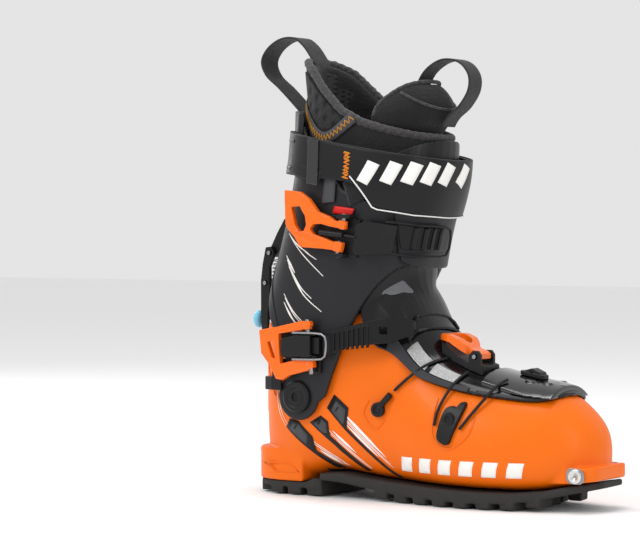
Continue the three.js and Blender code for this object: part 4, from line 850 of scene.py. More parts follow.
done(soften(spine, 0.35, 3), "spine_strip", "shell", SATIN, "satin_black")
rivet = tube([(-138, 15, 112), (-141, 16, 112), (-144, 17, 112)], 2.4, 24)
combine(rivet, "INTERSECT", foot_form(-1.2))
done(soften(rivet, 0.3, 2), "spine_rivet", "shell", SCREW, "screw_steel")
arcs = [
    stripe([(-119 + k, 84 - k), (-116.5 + k, 66), (-108 + k, 53 + k * 0.4)], (0.3, 0.9, 0.3), foot_y, 0.4) for k in (0, 2.6)
]
done(joined(arcs), "shell_arcs", "shell", PINK_PRINT, "shell_orange")

# ------------------------------------------------------------------ the cuff
PIVOT_RADIUS = 18.5
arc = [math.pi * (0.68 + (1.93 - 0.68) * k / 28) for k in range(29)]
CUFF_OUTLINE = [(PIVOT_X + PIVOT_RADIUS * math.cos(a), PIVOT_Z + PIVOT_RADIUS * math.sin(a)) for a in arc]
FRONT_EDGE = [(-66, 78), (-59, 97), (-52, 114), (-46, 127), (-35, 148), (-22, 166), (-8, 178), (12, 184)]
CUFF_OUTLINE += [tuple(p[:2]) for p in curve_points([(x, z, 0) for x, z in FRONT_EDGE], 30)]
CUFF_OUTLINE += [
    (40, 190), (40, 214), (-20, 222), (-50, 236), (-80, 264), (-96, 286), (-150, 286), (-150, 192),
    (-136, 188), (-133, 168), (-126, 146), (-119, 131), (-110, 122), (-104.6, 109), (-101.6, 98),
]  # fmt: skip


def leg_wall(outer, inner, low=52, high=344):
    return combine(leg_form(outer, low, high), "DIFFERENCE", leg_form(inner, low - 2, high + 2))


def leg_panel(outline, outer, inner, low=52, high=344, left=-90, right=90):
    return combine(leg_wall(outer, inner, low, high), "INTERSECT", slab(outline, "Y", left, right))


cuff = leg_panel(CUFF_OUTLINE, 0, 3.2, 50, 300)
combine(cuff, "DIFFERENCE", block((-1, -70, 150), (60, 40, 300)), block((-160, -16.5, 150), (-128, 16.5, 194)))
combine(cuff, "DIFFERENCE", pivot_bore())
soften(cuff, 1.1, 5)
done(cuff, "cuff_moulding", "cuff", CUFF, "cuff_black", "cuff")

lateral = leg_panel(rounded([(-9, 226), (-9, 183), (-3, 176), (30, 167), (30, 216)], 1), -3.2, -0.5, 160, 240, -80, 10)
medial = leg_panel([(-34, 230), (-34, 184), (30, 167), (30, 216)], -3.2, -0.5, 160, 240, 9, 80)
flap = soften(combine(lateral, "UNION", medial), 0.8, 4)
done(flap, "flap_moulding", "cuff", CUFF, "cuff_black", "front_flap")

spoiler = leg_panel([(-150, 262), (-88, 270), (-94, 296), (-150, 303)], -3.4, -0.5, 250, 310, -40, 40)
done(soften(spoiler, 0.8, 5), "spoiler_moulding", "cuff", CUFF, "cuff_black", "spoiler")

panel = leg_panel([(-160, 150), (-131, 150), (-122, 158), (-122, 200), (-160, 200)], 3.7, 5.7, 140, 210, -37, 37)
done(soften(panel, 0.7, 4), "rear_panel_moulding", "cuff", SATIN, "satin_black", "rear_panel")

outline = [(-14, 251), (14, 251), (9, 224), (7.5, 196), (-7.5, 196), (-9, 224)]
strip = combine(leg_wall(-1.3, 0.6, 185, 262), "INTERSECT", slab(outline, "X", -170, -80))
done(soften(strip, 0.6, 5), "cuff_spine", "cuff", CUFF, "cuff_black")
edge = [(-134, 205), (-127, 170), (-118, 146), (-108, 124)]
ribs = [stripe(edge, (0.5, 1.5, 1.5, 0.5), leg_y, 0.5, side) for side in (LATERAL, MEDIAL)]
done(joined(ribs), "cuff_edge_ribs", "cuff", CUFF, "cuff_black")

# White lines swept from the cuff's rear edge down and forward, in three groups.
CUFF_LINES = [
    ([(-105.6, 202.8), (-92.7, 193.3), (-81.9, 187.6)], 1.1), ([(-104.2, 201.6), (-88.7, 187.6), (-67.4, 170)], 0.8),
    ([(-90.8, 192.7), (-81.9, 187), (-73.8, 182.6)], 0.9), ([(-106.2, 185.5), (-100.1, 178.5), (-95, 172.2)], 1.6),
    ([(-104.7, 182.3), (-89.3, 162.1), (-78.1, 152.7)], 0.9), ([(-102, 177.2), (-85.9, 155.7), (-68.7, 142.7)], 0.9),
    ([(-103.2, 179.8), (-92, 164.6), (-85.2, 154.5)], 0.6), ([(-105.7, 156), (-96.3, 143.4), (-87.3, 135.3)], 0.9),
    ([(-105.3, 149.6), (-97.8, 138.9), (-92.1, 132.7)], 1.6), ([(-104.5, 152.8), (-95, 140.3), (-88.8, 134.5)], 0.6),
]  # fmt: skip
lines = [stripe(line, (0.3, wide, 0.5), leg_y, 0.3) for line, wide in CUFF_LINES]
done(joined(lines), "cuff_lines", "cuff", WHITE, "cuff_black")

# ------------------------------------------------------------------ the toe plate
def foot_panel(outline, outer, inner, left, right):
    panel = combine(foot_form(outer), "DIFFERENCE", foot_form(inner))
    return combine(panel, "INTERSECT", slab(outline, "Y", left, right))


TOE_PLATE = [(60, 88.8), (84, 84.5), (104, 82.5), (117, 81), (117, 100), (60, 110)]
toe_plate = foot_panel(TOE_PLATE, -5.2, -0.8, -30, 34)
for x, y in ((93, -13), (104.5, 3), (105, -8.5), (104.5, 14), (112, -2)):
    crest = float(foot_crest(x))
    bump = tube([(x, y, crest - 12), (x, y, crest + 5.6)], 3.6, 28)
    ring = combine(bump, "INTERSECT", foot_form(-6.2))
    combine(ring, "DIFFERENCE", foot_form(-3.6))
    combine(toe_plate, "UNION", ring)
soften(toe_plate, 0.7, 3)
done(toe_plate, "toe_plate_moulding", "shell", GLOSS, "gloss_black", "toe_plate")
for name, low, high in (("outer", -27.3, -26.2), ("inner", 34.2, 35.3)):
    outline = rounded([(130.6, 20.6), (145.4, 20.6), (145.4, 29), (142, 32.3), (130.6, 32.3)], 1)
    plate = soften(slab(outline, "Y", low, high), 0.3, 2)
    done(plate, f"toe_socket_plate_{name}", "shell", SCREW, "insert_steel")

# ------------------------------------------------------------------ cable fittings on the outer side
def fitting(pieces, name, node, look=WIRE):
    done(soften(joined(pieces), 0.35, 3), name, "shell", look, SLOTS[node], node)


def boss(x, z, radius, low, high, side=LATERAL):
    """A round boss standing on the foot form."""
    y = foot_y(x, z, 0, side)
    return tube([(x, y + side * low, z), (x, y + side * (low + high) / 2, z), (x, y + side * high, z)], radius, 40)


SLOTS = {row["node"]: row["material_slot"] for row in frame["record"]["subparts"]}
ring = combine(boss(-20.5, 69.5, 5.6, -0.6, 3.4), "DIFFERENCE", boss(-20.5, 69.5, 3.3, 2.2, 5))
line = [(x, foot_y(x, z, 3), z) for x, z in ((-17.5, 72.5), (-13.5, 76.5), (-8.5, 81.5))]
barrel = tube(line, 2.4, 24)
fitting([ring, barrel, boss(-20.5, 69.5, 2.0, 0, 2.7)], "cable_eyelet_cast", "cable_eyelet")
plate = [
    (35.5, 50), (46, 45), (49.5, 55), (53.5, 66), (56.5, 76.5),
    (52.5, 79), (49, 73.5), (44.5, 75.5), (40, 72.5), (37.5, 62),
]  # fmt: skip
pieces = [tile(rounded(plate, 2), lambda d: foot_form(d, sides=80, count=140), 3.1, 0.4)]
collar = combine(boss(45.5, 65.5, 4.6, 0, 5.2), "DIFFERENCE", boss(45.5, 65.5, 2.4, 4.1, 8))
fitting([*pieces, collar], "cable_guide_cast", "cable_guide", SATIN)

# ------------------------------------------------------------------ things that follow the leg's surface
def on_leg(degrees, z, lift=0.0):
    return leg_surface(z, math.radians(degrees), -lift)


def wrap(points, widths, lift, thickness=0.7, count=60, columns=5, straight=False):
    """A flat band on the leg form through (degrees, z) points, with a map in millimetres."""
    if straight:
        turns = np.array([(*p, 0) for p in points], float)
        steps = np.concatenate([[0], np.cumsum(np.linalg.norm(np.diff(turns, axis=0), axis=1))])
        wanted = np.linspace(0, steps[-1], count)
        turns = np.stack([np.interp(wanted, steps, turns[:, k]) for k in range(3)], -1)
    else:
        turns = curve_points([(a, z, 0) for a, z in points], count)
    rows = []
    for i, (degrees, z, _) in enumerate(turns):
        ahead = turns[min(i + 1, count - 1)] - turns[max(i - 1, 0)]
        step = np.linalg.norm(on_leg(degrees + 0.5, z) - on_leg(degrees - 0.5, z))
        run = np.array((ahead[0] * step, ahead[1]))
        run /= np.linalg.norm(run)
        half = np.interp(i / (count - 1), np.linspace(0, 1, len(widths)), widths) / 2
        across = np.linspace(-half, half, columns)
        rows.append([on_leg(degrees - run[1] * s / step, z + run[0] * s, lift) for s in across])
    return thicken(grid_piece(np.array(rows)), thickness, -1.0 if points[0][0] < points[-1][0] else 1.0)


def stitches(points, lift, teeth, half, radius=0.42):
    """A zigzag thread on the leg form along (degrees, z) points."""
    turns = curve_points([(a, z, 0) for a, z in points], teeth + 1)
    path = []
    for i, (degrees, z, _) in enumerate(turns):
        ahead = turns[min(i + 1, teeth)] - turns[max(i - 1, 0)]
        step = np.linalg.norm(on_leg(degrees + 0.5, z) - on_leg(degrees - 0.5, z))
        run = np.array((ahead[0] * step, ahead[1]))
        run /= np.linalg.norm(run)
        s = half if i % 2 else -half
        path.append(on_leg(degrees - run[1] * s / step, z + run[0] * s, lift))
    dense = [a + (b - a) * t for a, b in zip(path, path[1:], strict=False) for t in (0, 0.33, 0.67)]
    return tube([*dense, path[-1]], radius, 8)


def rope(path, radius, closed=False, strands=3, turns_per_mm=0.16):
    """A soft twisted cord."""
    path = np.asarray(path)
    length = np.concatenate([[0], np.cumsum(np.linalg.norm(np.diff(path, axis=0), axis=1))])
    sides = 18

    def swell(i, k):
        phase = k / sides * TURN * strands + length[i] * turns_per_mm * TURN
        return 1 + 0.1 * math.cos(phase) + 0.05 * math.sin(2.3 * phase + i)

    return tube(path, radius, sides, closed, swell)


# ------------------------------------------------------------------ soft parts
def node_copy(name):
    """A welded copy of a CAD node's mesh, as a start for a softer piece."""
    mesh = frame["nodes"][name].data.copy()
    shape = bmesh.new()
    shape.from_mesh(mesh)
    bmesh.ops.remove_doubles(shape, verts=shape.verts, dist=0.01 * MM)
    shape.to_mesh(mesh)
    shape.free()
    thing = bpy.data.objects.new(name + "_soft", mesh)
    bpy.context.scene.collection.objects.link(thing)
    return thing


def coordinates(mesh):
    flat = np.empty(len(mesh.vertices) * 3)
    mesh.vertices.foreach_get("co", flat)
    return flat.reshape(-1, 3)


def puff(thing, pressure, most_mm, frames=20):
    """Blows a cloth skin up a little with the cloth solver, held to most_mm of movement."""
    start = coordinates(thing.data)
    cloth = thing.modifiers.new("cloth", "CLOTH")
    cloth.settings.quality = 5
    cloth.settings.mass = 0.15
    cloth.settings.tension_stiffness = 12
    cloth.settings.compression_stiffness = 12
    cloth.settings.bending_stiffness = 0.4
    cloth.settings.use_pressure = True
    cloth.settings.uniform_pressure_force = pressure
    cloth.settings.effector_weights.gravity = 0
    cloth.collision_settings.use_collision = False
    scene = bpy.context.scene
    for step in range(1, frames + 1):
        scene.frame_set(step)
    apply_all(thing)
    scene.frame_set(1)
    moved = coordinates(thing.data) - start
    far = np.linalg.norm(moved, axis=1)
    share = np.minimum(1, most_mm * MM / np.maximum(far, 1e-9))
    ends = start + moved * share[:, None]
    thing.data.vertices.foreach_set("co", ends.ravel())
    thing.data.update()
    return thing


def rumple(thing, size_mm, depth_mm):
    """Soft uneven waves in a padded skin."""
    texture = bpy.data.textures.new("rumple", "CLOUDS")
    texture.noise_scale = size_mm * MM
    texture.noise_depth = 1
    waves = thing.modifiers.new("rumple", "DISPLACE")
    waves.texture = texture
    waves.strength = depth_mm * MM
    waves.mid_level = 0.5
    waves.texture_coords = "LOCAL"
    return apply_all(thing)


# Collar's rim seen from the side: x and z.
RIM_X = [-150, -118, -104, -92, -78, -58, -40, -18, 0, 12, 60]
RIM_Z = [339, 339, 336, 329, 314, 296.5, 287.5, 281, 276.5, 274.5, 270]


def rim_point(degrees, inset, lower=0.0):
    z = 320.0
    for _ in range(12):
        x = on_leg(degrees, z, -inset)[0]
        z = 0.5 * z + 0.5 * float(np.interp(x, RIM_X, RIM_Z))
    return on_leg(degrees, z - lower, -inset)


LINER_RIM = list(zip(RIM_X[1:], RIM_Z[1:], strict=True))
COLLAR = [(-150, 212), (-60, 216), (60, 224), (60, 266), *reversed(LINER_RIM), (-150, 339)]
liner = joined([
    node_copy("liner_foot"),
    leg_wall(10.6, 17.5, 96, 232),
    leg_panel(COLLAR, 7.2, 15.6, 200, 344),
])  # fmt: skip
soften(liner, 3.0, 4)
puff(liner, 3.0, 0.9)
rumple(liner, 16, 1.1)
done(liner, "liner", None, LINER, "liner_fabric", "liner_foot", "liner_collar")
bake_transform(liner)

below_rim = [(x, z - 5) for x, z in LINER_RIM]
outline = [(-150, 236), (60, 236), (60, 262), *reversed(below_rim), (-150, 334)]
lining = leg_panel(outline, 15.2, 16.4, 230, 344)
soften(lining, 0.9, 3)
done(lining, "liner_lining", "cuff", LINER_INSIDE, "liner_fabric")

binding = [rim_point(a, 9.5) for a in np.linspace(-180, 180, 260, endpoint=False)]
done(rope(binding, 3.1, True), "liner_binding", "cuff", FUZZ, "liner_fabric")

TAPES = {
    "outer": [(-180, 309), (-160, 303), (-140, 292), (-125, 281.5), (-113, 276), (-104, 277.5), (-96, 283), (-88, 291)],
    "inner": [(180, 309), (158, 305), (146, 302), (134, 304), (125, 311), (118, 320)],
}
PANELS = {
    "outer": [
        (-150, 314), (-100, 304), (-88, 290), (-74, 281), (-60, 284),
        (-55, 289), (-76, 307), (-92, 322), (-104, 330), (-150, 333),
    ],
    "inner": [(-150, 314), (-100, 308), (-92, 309), (-84, 316), (-92, 323), (-104, 330), (-150, 333)],
}
# Stretch panel with raised tiles on each side of the collar, below the binding.
for side, label in ((LATERAL, "outer"), (MEDIAL, "inner")):
    outline = PANELS[label]
    low, high = (-90, -8) if side == LATERAL else (8, 90)
    tiles = leg_panel(rounded(outline, 1), 6.2, 8.0, 270, 344, low, high)
    soften(tiles, 0.8, 3)
    done(tiles, f"liner_tiles_{label}", "cuff", LINER_HEX, "liner_fabric")
    tape_line = TAPES[label]
    done(wrap(tape_line, (9, 9), -5.2, 0.8, 90), f"liner_tape_{label}", "cuff", TAPE, "webbing")
    thread = stitches(tape_line, -4.9, 58, 2.3, 0.32)
    done(thread, f"liner_zigzag_{label}", "cuff", YELLOW, "webbing")

# The tongue's padded cap, with a seam and a piped edge.
# Rows: z, outer inset, inner inset, half turn in degrees.
CAP_ROWS = [
    (248, 17.5, 24, 58), (262, 17.2, 25, 66), (276, 16.6, 25.5, 72), (283, 13, 25, 76), (289, 7.5, 25, 78),
    (296, 4.5, 24.5, 76), (303, 4, 23, 68), (309, 6, 22, 56), (314, 9, 20, 42), (317.5, 13, 18.5, 26),
]  # fmt: skip


def cap_point(z, degrees, lift=0.0):
    rows = np.array(CAP_ROWS)
    outer = np.interp(z, rows[:, 0], rows[:, 1])
    half = np.interp(z, rows[:, 0], rows[:, 3])
    side = min(abs(degrees) / half, 1) ** 3
    return on_leg(degrees, z, lift - outer - (14 - outer) * side * (outer < 14))


rings = []
for z, outer, inner, half in CAP_ROWS:
    turns = np.linspace(-half, half, 40)
    front = [cap_point(z, a) for a in turns]
    rear = [on_leg(a, z, -inner) for a in turns[::-1]]
    rings.append(front + rear)
rings = np.array(rings)
dense = np.stack([curve_points(rings[:, k], 40) for k in range(rings.shape[1])], 1)
cap = skin(dense)
soften(cap, 2.4, 5)
puff(cap, 4.0, 1.4)
rumple(cap, 14, 0.8)
done(cap, "liner_tongue_cap", "cuff", LINER, "liner_fabric", "liner_tongue")
edges = [(-74, 292), (-70, 299), (-62, 305), (-50, 311), (-36, 315.5), (-18, 318), (0, 318.5)]
edges += [(-a, z) for a, z in reversed(edges[:-1])]
path = [cap_point(z, a, 0.6) for a, z in curve_points([(a, z, 0) for a, z in edges], 70)[:, :2]]
done(rope(path, 1.5), "tongue_piping", "cuff", FUZZ, "liner_fabric")
edges = [(-46, 309.5), (-34, 303), (-18, 298.5), (0, 297)]
edges += [(-a, z) for a, z in reversed(edges[:-1])]
path = [cap_point(z, a, 0.9) for a, z in curve_points([(a, z, 0) for a, z in edges], 60)[:, :2]]
done(tube(path, 1.1, 10), "tongue_seam", "cuff", FUZZ, "liner_fabric")

# ------------------------------------------------------------------ the power strap
STRAP_TOP = ([-150, -108, -60, 30, 60], [284, 281.5, 272, 256, 252])
STRAP_LOW = ([-150, -104, -45, -36, -20, 30, 60], [252, 248, 242.5, 240, 223, 211, 209])
rows = []
for degrees in np.linspace(-180, 180, 240, endpoint=False):
    low_z = high_z = 250.0
    for _ in range(14):
        low_z = 0.5 * low_z + 0.5 * float(np.interp(on_leg(degrees, low_z, 5)[0], *STRAP_LOW))
        high_z = 0.5 * high_z + 0.5 * float(np.interp(on_leg(degrees, high_z, 5)[0], *STRAP_TOP))
    column = []
    for t in np.linspace(0, 1, 17):
        curl = 0.35 * math.sin(math.radians(degrees) * 7 + t * 3) * (2 * t - 1)
        column.append(on_leg(degrees, low_z + (high_z - low_z) * t, 4.75 + 0.35 * math.sin(math.pi * t) + curl * 0.3))
    rows.append(column)
strap = thicken(grid_piece(np.array(rows), True), 2.2, 1.0, 0.5)
done(strap, "power_strap_band", "cuff", STRAP_WEB, "webbing", "power_strap")


def strap_edge(degrees, top, lift=6.4):
    z = 250.0
    for _ in range(14):
        z = 0.5 * z + 0.5 * float(np.interp(on_leg(degrees, z, 5)[0], *(STRAP_TOP if top else STRAP_LOW)))
    return on_leg(degrees, z, lift)


fuzz = [strap_edge(a, True, 5.9) for a in np.linspace(-180, 180, 300, endpoint=False)]
done(rope(fuzz, 0.9, True, 5, 0.4), "strap_fuzzy_edge", "cuff", VELCRO, "webbing")
trim = [(-84, 246), (-80, 240.5), (-66, 222.5), (-62, 220.6), (-33, 216.2), (0, 214.3), (30, 215.5), (55, 219)]
done(wrap(trim, (0.9, 0.9), 7.7, 0.5, 160, 3, True), "strap_trim", "cuff", TRIM, "webbing")
done(stitches([(-86.3, 264.5), (-86.3, 244)], 7.4, 15, 2.4), "strap_stitching", "cuff", YELLOW, "webbing")
thread = stitches([(-86.9, 264), (-85.7, 244)], 7.5, 11, 2.0)
done(thread, "strap_stitching_over", "cuff", ORANGE_THREAD, "webbing")
# A painted sheen: a satin patch on the band's rear outer part stands in for the gloss highlight there.
patch = wrap([(-134, 257), (-115, 250), (-98, 245)], (9, 10, 10), 7.2, 0.35, 40, 5)
done(patch, "strap_sheen_patch", "cuff", SATIN, "webbing")
tab = wrap([(-95, 246), (-93.5, 226)], (10, 10), 2.3, 1.6, 20, 5, True)
done(tab, "strap_keeper_tab", "cuff", CHARCOAL, "strap_black")
patch = wrap([(-86, 244), (-78, 226)], (11, 13), 1.2, 1.2, 20, 7, True)
done(patch, "strap_hook_patch", "cuff", VELCRO, "webbing")
tag = wrap([(-90, 220.8), (-79, 218.6)], (5.5, 5.5), 2.0, 0.8, 12, 4, True)
done(tag, "red_tag", "cuff", RED_TAG, "strap_black")
for label, z in (("high", 277.5), ("low", 257)):
    border = [(degrees, z - 3.5 * abs(abs(degrees) - 180) / 50) for degrees in np.linspace(130, 230, 40)]
    done(wrap(border, (2.4, 2.4), 7.3, 0.9, 60, 4), f"strap_border_{label}", "cuff", STRAP, "strap_black")
bars = []
for k in range(6):
    start = -76 + 15.5 * k
    bars.append(wrap([(start, 241 - 0.4 * k), (start + 6, 256 - 0.4 * k)], (9.5, 9.5), 7.75, 0.5, 10, 4, True))
done(joined(bars), "strap_bars", "cuff", WHITE, "webbing")

# ------------------------------------------------------------------ pull loops
def webbing_loop(path, half, name, node):
    line = curve_points([(x, 0, z) for x, z in path], 90)
    rows = []
    for x, _, z in line:
        rows.append([(x, y, z) for y in np.linspace(-half, half, 9)])
    band = thicken(grid_piece(np.array(rows)), 1.5, 0.0, 0.3)
    done(band, name, "cuff", WEBBING, "webbing", node)


BACK_LOOP = [
    (-101.5, 322), (-103, 334), (-108, 342.5), (-115, 351), (-124, 356.6), (-137, 356), (-149, 349),
    (-154.6, 339), (-150, 328), (-138, 318), (-124, 305), (-114.5, 295), (-111, 286),
]  # fmt: skip
FRONT_LOOP = [
    (-14, 303), (-10, 315), (-2, 327), (12, 334.4), (27, 332.5), (36, 323), (36, 311), (28, 299), (18, 291), (13, 284),
]  # fmt: skip
webbing_loop(BACK_LOOP, 11, "rear_loop_webbing", "rear_loop")
webbing_loop(FRONT_LOOP, 9, "front_loop_webbing", "front_loop")

# ------------------------------------------------------------------ the upper foot form's height
def foot_y_top(x, y, lift):
    """The upper foot form's z above x and y."""
    station = x * SHELL_HALF / (SHELL_HALF + lift)
    half = float(foot_width(station)) * (1 + lift / 50)
    roundness = float(foot_round(station))
    c = min(abs(y - float(foot_middle(station))) / half, 1) ** (roundness / 2)
    s = math.sqrt(max(1 - c * c, 0))
    middle = float(foot_widest(station))
    return middle + (float(foot_crest(station)) + lift - middle) * s ** (2 / roundness)


# ------------------------------------------------------------------ the tongue, one piece from the toes to the shin
# Rows over the foot: crest x, x at the wings' ends, outer and inner half widths.
FOOT_ROWS = [
    (120, 119, 13, 19), (116, 115, 22, 27), (111, 110, 27, 31), (104, 103, 30, 34), (95, 94, 32.5, 36),
    (85, 84, 34.5, 37), (74, 72, 36.5, 38), (62, 59, 38, 39), (50, 45, 39, 39.5), (40, 33, 39.5, 39.5),
    (30, 21, 40, 40), (22, 10, 40.5, 40.5), (15, 0, 41, 41), (9, -10, 42, 42), (3, -19, 42.5, 42.5),
    (-2, -26, 42.5, 42.5), (-6, -32, 42, 42),
]  # fmt: skip
# Rows over the leg: z in the middle, fall towards the wings' ends, half turn in degrees.
LEG_ROWS = [
    (172, 30, 61), (180, 24, 62), (190, 15, 63), (204, 8, 64), (220, 2, 64), (238, 0, 64), (254, 4, 62), (266, 9, 60),
    (274, 12, 58),
]  # fmt: skip
ACROSS = np.linspace(-1, 1, 61)


def tongue_rows(lift):
    rows = []
    for crest, wing, outer, inner in FOOT_ROWS:
        row = []
        for t in ACROSS:
            x = crest + (wing - crest) * abs(t) ** 1.7
            y = float(foot_middle(crest)) + t * (outer if t < 0 else inner)
            row.append((x, y, foot_y_top(x, y, lift)))
        rows.append(row)
    for z, fall, half in LEG_ROWS:
        rows.append([tuple(on_leg(half * t, z - fall * t * t, lift - 6.4)) for t in ACROSS])
    rows = np.array(rows)
    steps = np.concatenate([[0], np.cumsum(np.linalg.norm(np.diff(rows[:, 30], axis=0), axis=1))])
    wanted = np.linspace(0, steps[-1], 150)
    dense = np.stack([[np.interp(wanted, steps, rows[:, k, n]) for n in range(3)] for k in range(len(ACROSS))])
    dense = dense.transpose(2, 0, 1)
    for _ in range(14):
        dense[1:-1] = 0.5 * dense[1:-1] + 0.25 * (dense[2:] + dense[:-2])
    return dense


TONGUE = tongue_rows(0.6)
TONGUE_NORMAL = np.cross(np.gradient(TONGUE, axis=0), np.gradient(TONGUE, axis=1))
TONGUE_NORMAL /= np.linalg.norm(TONGUE_NORMAL, axis=2)[:, :, None]
if TONGUE_NORMAL[20, 30, 2] < 0:
    TONGUE_NORMAL = -TONGUE_NORMAL


def row_at(x=None, z=None):
    """The share of the way along the tongue at a crest's x on the foot, or at its z on the shin."""
    if z is not None:
        return (75 + int(np.argmin(np.abs(TONGUE[75:, 30, 2] - z)))) / 149
    return int(np.argmin(np.abs(TONGUE[:90, 30, 0] - x))) / 149


def tongue_patch(first, last, left, right, low, high, corner=0.0):
    """A raised part of the tongue between two rows and two places across, from low to high above its face."""
    rows = np.linspace(first, last, max(int((last - first) * 150), 8))
    across = np.linspace(left, right, 15)
    sheets = []
    for lift in (low, high):
        sheet = []
        for r in rows:
            i = int(round(r * 149))
            inset = corner * (abs(2 * (r - first) / (last - first) - 1) ** 6)
            columns = np.clip(left + (across - left) * (1 - inset) + inset * (right - left) / 2, -1, 1)
            place = (columns + 1) / 2 * 60
            k = np.clip(place.astype(int), 0, 59)
            f = (place - k)[:, None]
            base = TONGUE[i, k] * (1 - f) + TONGUE[i, k + 1] * f
            out = TONGUE_NORMAL[i, k] * (1 - f) + TONGUE_NORMAL[i, k + 1] * f
            sheet.append(base + out * lift)
        sheets.append(np.array(sheet))
    rings = [np.concatenate([a, b[::-1]]) for a, b in zip(*sheets, strict=True)]
    return skin(np.array(rings))


edge_lift = 2.7
body = tongue_patch(0, 1, -1, 1, 0, edge_lift)
soften(body, 0.85, 4)
done(body, "tongue", None, TONGUE_BLACK, "gloss_black", "tongue_lower", "tongue_upper")
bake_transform(body)

# Its side panel, ribbed bands, rim line and grey fabric window.
RIBBED = fabric("ribbed band", srgb(176, 176, 176), 1.5, 0.1, 0.2, "noise", srgb(214, 214, 214))
SIDE_GREY = moulded("tongue side panel", srgb(52, 53, 56), 0.45)
side = tongue_patch(row_at(x=58), row_at(x=6), -1.0, -0.925, edge_lift - 0.6, edge_lift + 0.7)
done(side, "tongue_side_panel", "shell", SIDE_GREY, "gloss_black")
for label, first, last in (("front", 47, 27.5), ("rear", 25.5, 13.5)):
    ribs = []
    for k in range(9):
        left = -0.91 + 0.019 * k
        ribs.append(tongue_patch(row_at(x=first), row_at(x=last), left, left + 0.014, edge_lift - 0.4, edge_lift + 0.75))
    done(joined(ribs), f"ribbed_band_{label}", "shell", RIBBED, "webbing")
line = tongue_patch(row_at(x=116), row_at(x=62), -0.99, -0.94, edge_lift - 0.5, edge_lift + 0.5)
done(line, "tongue_rim_line", "shell", SIDE_GREY, "gloss_black")
window = tongue_patch(row_at(z=150), row_at(z=170), -0.74, -0.38, edge_lift - 0.5, edge_lift + 0.3, 0.25)
done(window, "tongue_window", None, GREY_FABRIC, "webbing")
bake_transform(window)

# ------------------------------------------------------------------ hard parts, recast with rounded edges
LOOKS = {
    "shell_orange": ORANGE,
    "lever_orange": LEVER,
    "cuff_black": CUFF,
    "satin_black": SATIN,
    "gloss_black": GLOSS,
    "strap_black": STRAP,
    "sole_rubber": RUBBER,
    "board_plastic": BOARD,
    "footbed_foam": FOOTBED_FOAM,
    "liner_fabric": LINER,
    "webbing": WEBBING,
    "insert_steel": STEEL,
    "screw_steel": SCREW,
    "screw_dark": SCREW_DARK,
    "wire_black": WIRE,
    "knob_blue": BLUE,
}
# Voxel size in millimetres, smoothing rounds and swelling of each recast node; the swelling undoes their shrinking.
RECAST = {
    "outsole_forefoot": (0.95, 3, 0.5),
    "outsole_heel": (0.8, 3),
    "heel_tech_insert": (0.4, 2),
    "heel_insert_screw": (0.22, 2),
    "toe_insert_lateral": (0.3, 2),
    "toe_insert_medial": (0.3, 2),
    "pivot_rivet_lateral": (0.35, 3),
    "pivot_rivet_medial": (0.35, 3),
    "instep_base": (0.4, 3),
    "instep_pin_top": (0.25, 2),
    "instep_pin_low": (0.25, 2),
    "ladder_strap": (0.4, 3),
    "strap_wires": (0.3, 2, 0.3),
    "medial_bracket": (0.35, 3),
    "cable_rear": (0.28, 2, 0.3),
    "cable_middle": (0.28, 2, 0.3),
    "cable_front": (0.28, 2, 0.3),
    "toe_hook": (0.3, 2),
    "forefoot_base": (0.35, 3),
    "forefoot_pin": (0.25, 2),
    "flap_rack": (0.4, 2),
    "upper_base": (0.4, 3),
    "upper_pin_top": (0.25, 2),
    "upper_pin_low": (0.25, 2),
    "strap_rear_plate": (0.35, 2),
    "strap_d_ring": (0.4, 3),
    "strap_keeper": (0.4, 2),
    "walk_bracket": (0.35, 2),
    "walk_top_pin": (0.3, 2),
    "upper_lever": (0.42, 3),
    "upper_barrel": (0.3, 2),
    "upper_hook": (0.4, 2),
    "instep_lever": (0.42, 3),
    "instep_catch": (0.4, 3),
    "instep_bail": (0.28, 1, 0.1),
    "forefoot_lever": (0.38, 3),
    "walk_arms": (0.38, 2),
    "walk_mid_pin": (0.3, 2),
    "walk_spring": (0.24, 2),
    "walk_lever": (0.35, 3),
    "walk_knob": (0.4, 4),
}
for name, (voxel, rounds, *grow) in RECAST.items():
    body = frame["nodes"][name]["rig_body"]
    piece = soften(node_copy(name), voxel, rounds)
    if grow:
        swell = piece.modifiers.new("swell", "DISPLACE")
        swell.strength = grow[0] * MM
        swell.mid_level = 0
        apply_all(piece)
    done(piece, name + "_cast", body, LOOKS[SLOTS[name]], SLOTS[name], name)

for name, node in frame["nodes"].items():
    node.data.materials.clear()
    node.data.materials.append(LOOKS[SLOTS[name]])
    edge = node.modifiers.new("edge", "BEVEL")
    edge.width = 0.3 * MM
    edge.limit_method = "ANGLE"

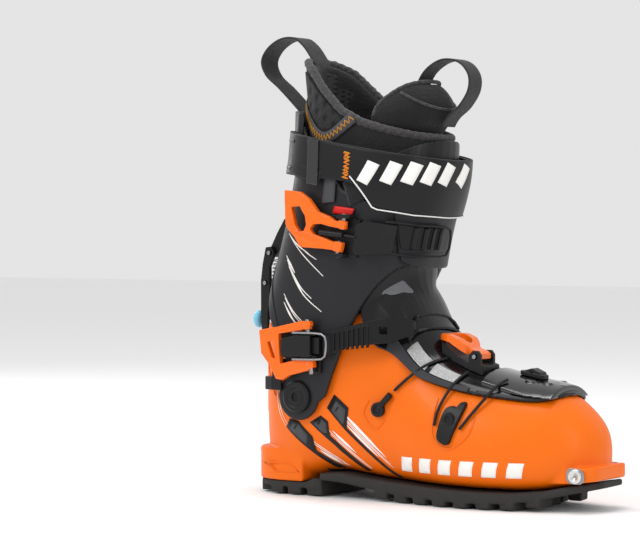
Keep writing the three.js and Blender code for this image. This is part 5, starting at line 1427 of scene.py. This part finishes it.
# ------------------------------------------------------------------ floor, light and camera
AZIMUTH, ELEVATION, DISTANCE = math.radians(32), math.radians(1.75), 1900
YAW, PITCH = math.radians(-2.62), math.radians(0.74)
back = Vector(
    (math.sin(AZIMUTH) * math.cos(ELEVATION), -math.cos(AZIMUTH) * math.cos(ELEVATION), math.sin(ELEVATION))
)
reach = np.linspace(-6000, 6000, 13)
floor = grid_piece(np.array([[(x, y, -1.2) for y in reach] for x in reach]))
done(floor, "floor", None, moulded("studio paper", srgb(247, 247, 247), 0.85, grain_mm=3, mottle=0.01), None)
floor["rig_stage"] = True

world = bpy.data.worlds.new("studio")
world.use_nodes = True
world.node_tree.nodes["Background"].inputs["Color"].default_value = (1, 1, 1, 1)
world.node_tree.nodes["Background"].inputs["Strength"].default_value = 0.78
bpy.context.scene.world = world
bpy.context.scene.view_settings.view_transform = "Standard"


def lamp(name, place, size, power, aim=(0, 0, 150)):
    light = bpy.data.lights.new(name, "AREA")
    light.shape = "RECTANGLE"
    light.size, light.size_y = size
    light.energy = power
    thing = bpy.data.objects.new(name, light)
    bpy.context.scene.collection.objects.link(thing)
    thing.location = at(*place)
    thing.rotation_euler = (at(*aim) - thing.location).to_track_quat("-Z", "Y").to_euler()


lamp("key", (-700, -1500, 1300), (0.6, 0.6), 11)
lamp("front", (1500, -700, 700), (0.3, 1.3), 4.5)
lamp("top", (100, -100, 1800), (0.8, 0.8), 10)
lamp("rim", (-1300, 500, 900), (0.3, 1.2), 4)

forward = -back
right = forward.cross(Vector((0, 0, 1))).normalized()
forward = (forward * math.cos(YAW) + right * math.sin(YAW)).normalized()
forward = (forward * math.cos(PITCH) + Vector((0, 0, 1)) * math.sin(PITCH)).normalized()
camera = bpy.data.objects.new("camera", bpy.data.cameras.new("camera"))
bpy.context.scene.collection.objects.link(camera)
camera.data.lens = 139.4
camera.data.sensor_width = 36
camera.data.clip_end = 20
camera.location = at(0, 0, 150) + back * DISTANCE * MM
camera.rotation_euler = forward.to_track_quat("-Z", "Y").to_euler()
bpy.context.scene.camera = camera

low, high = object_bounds()
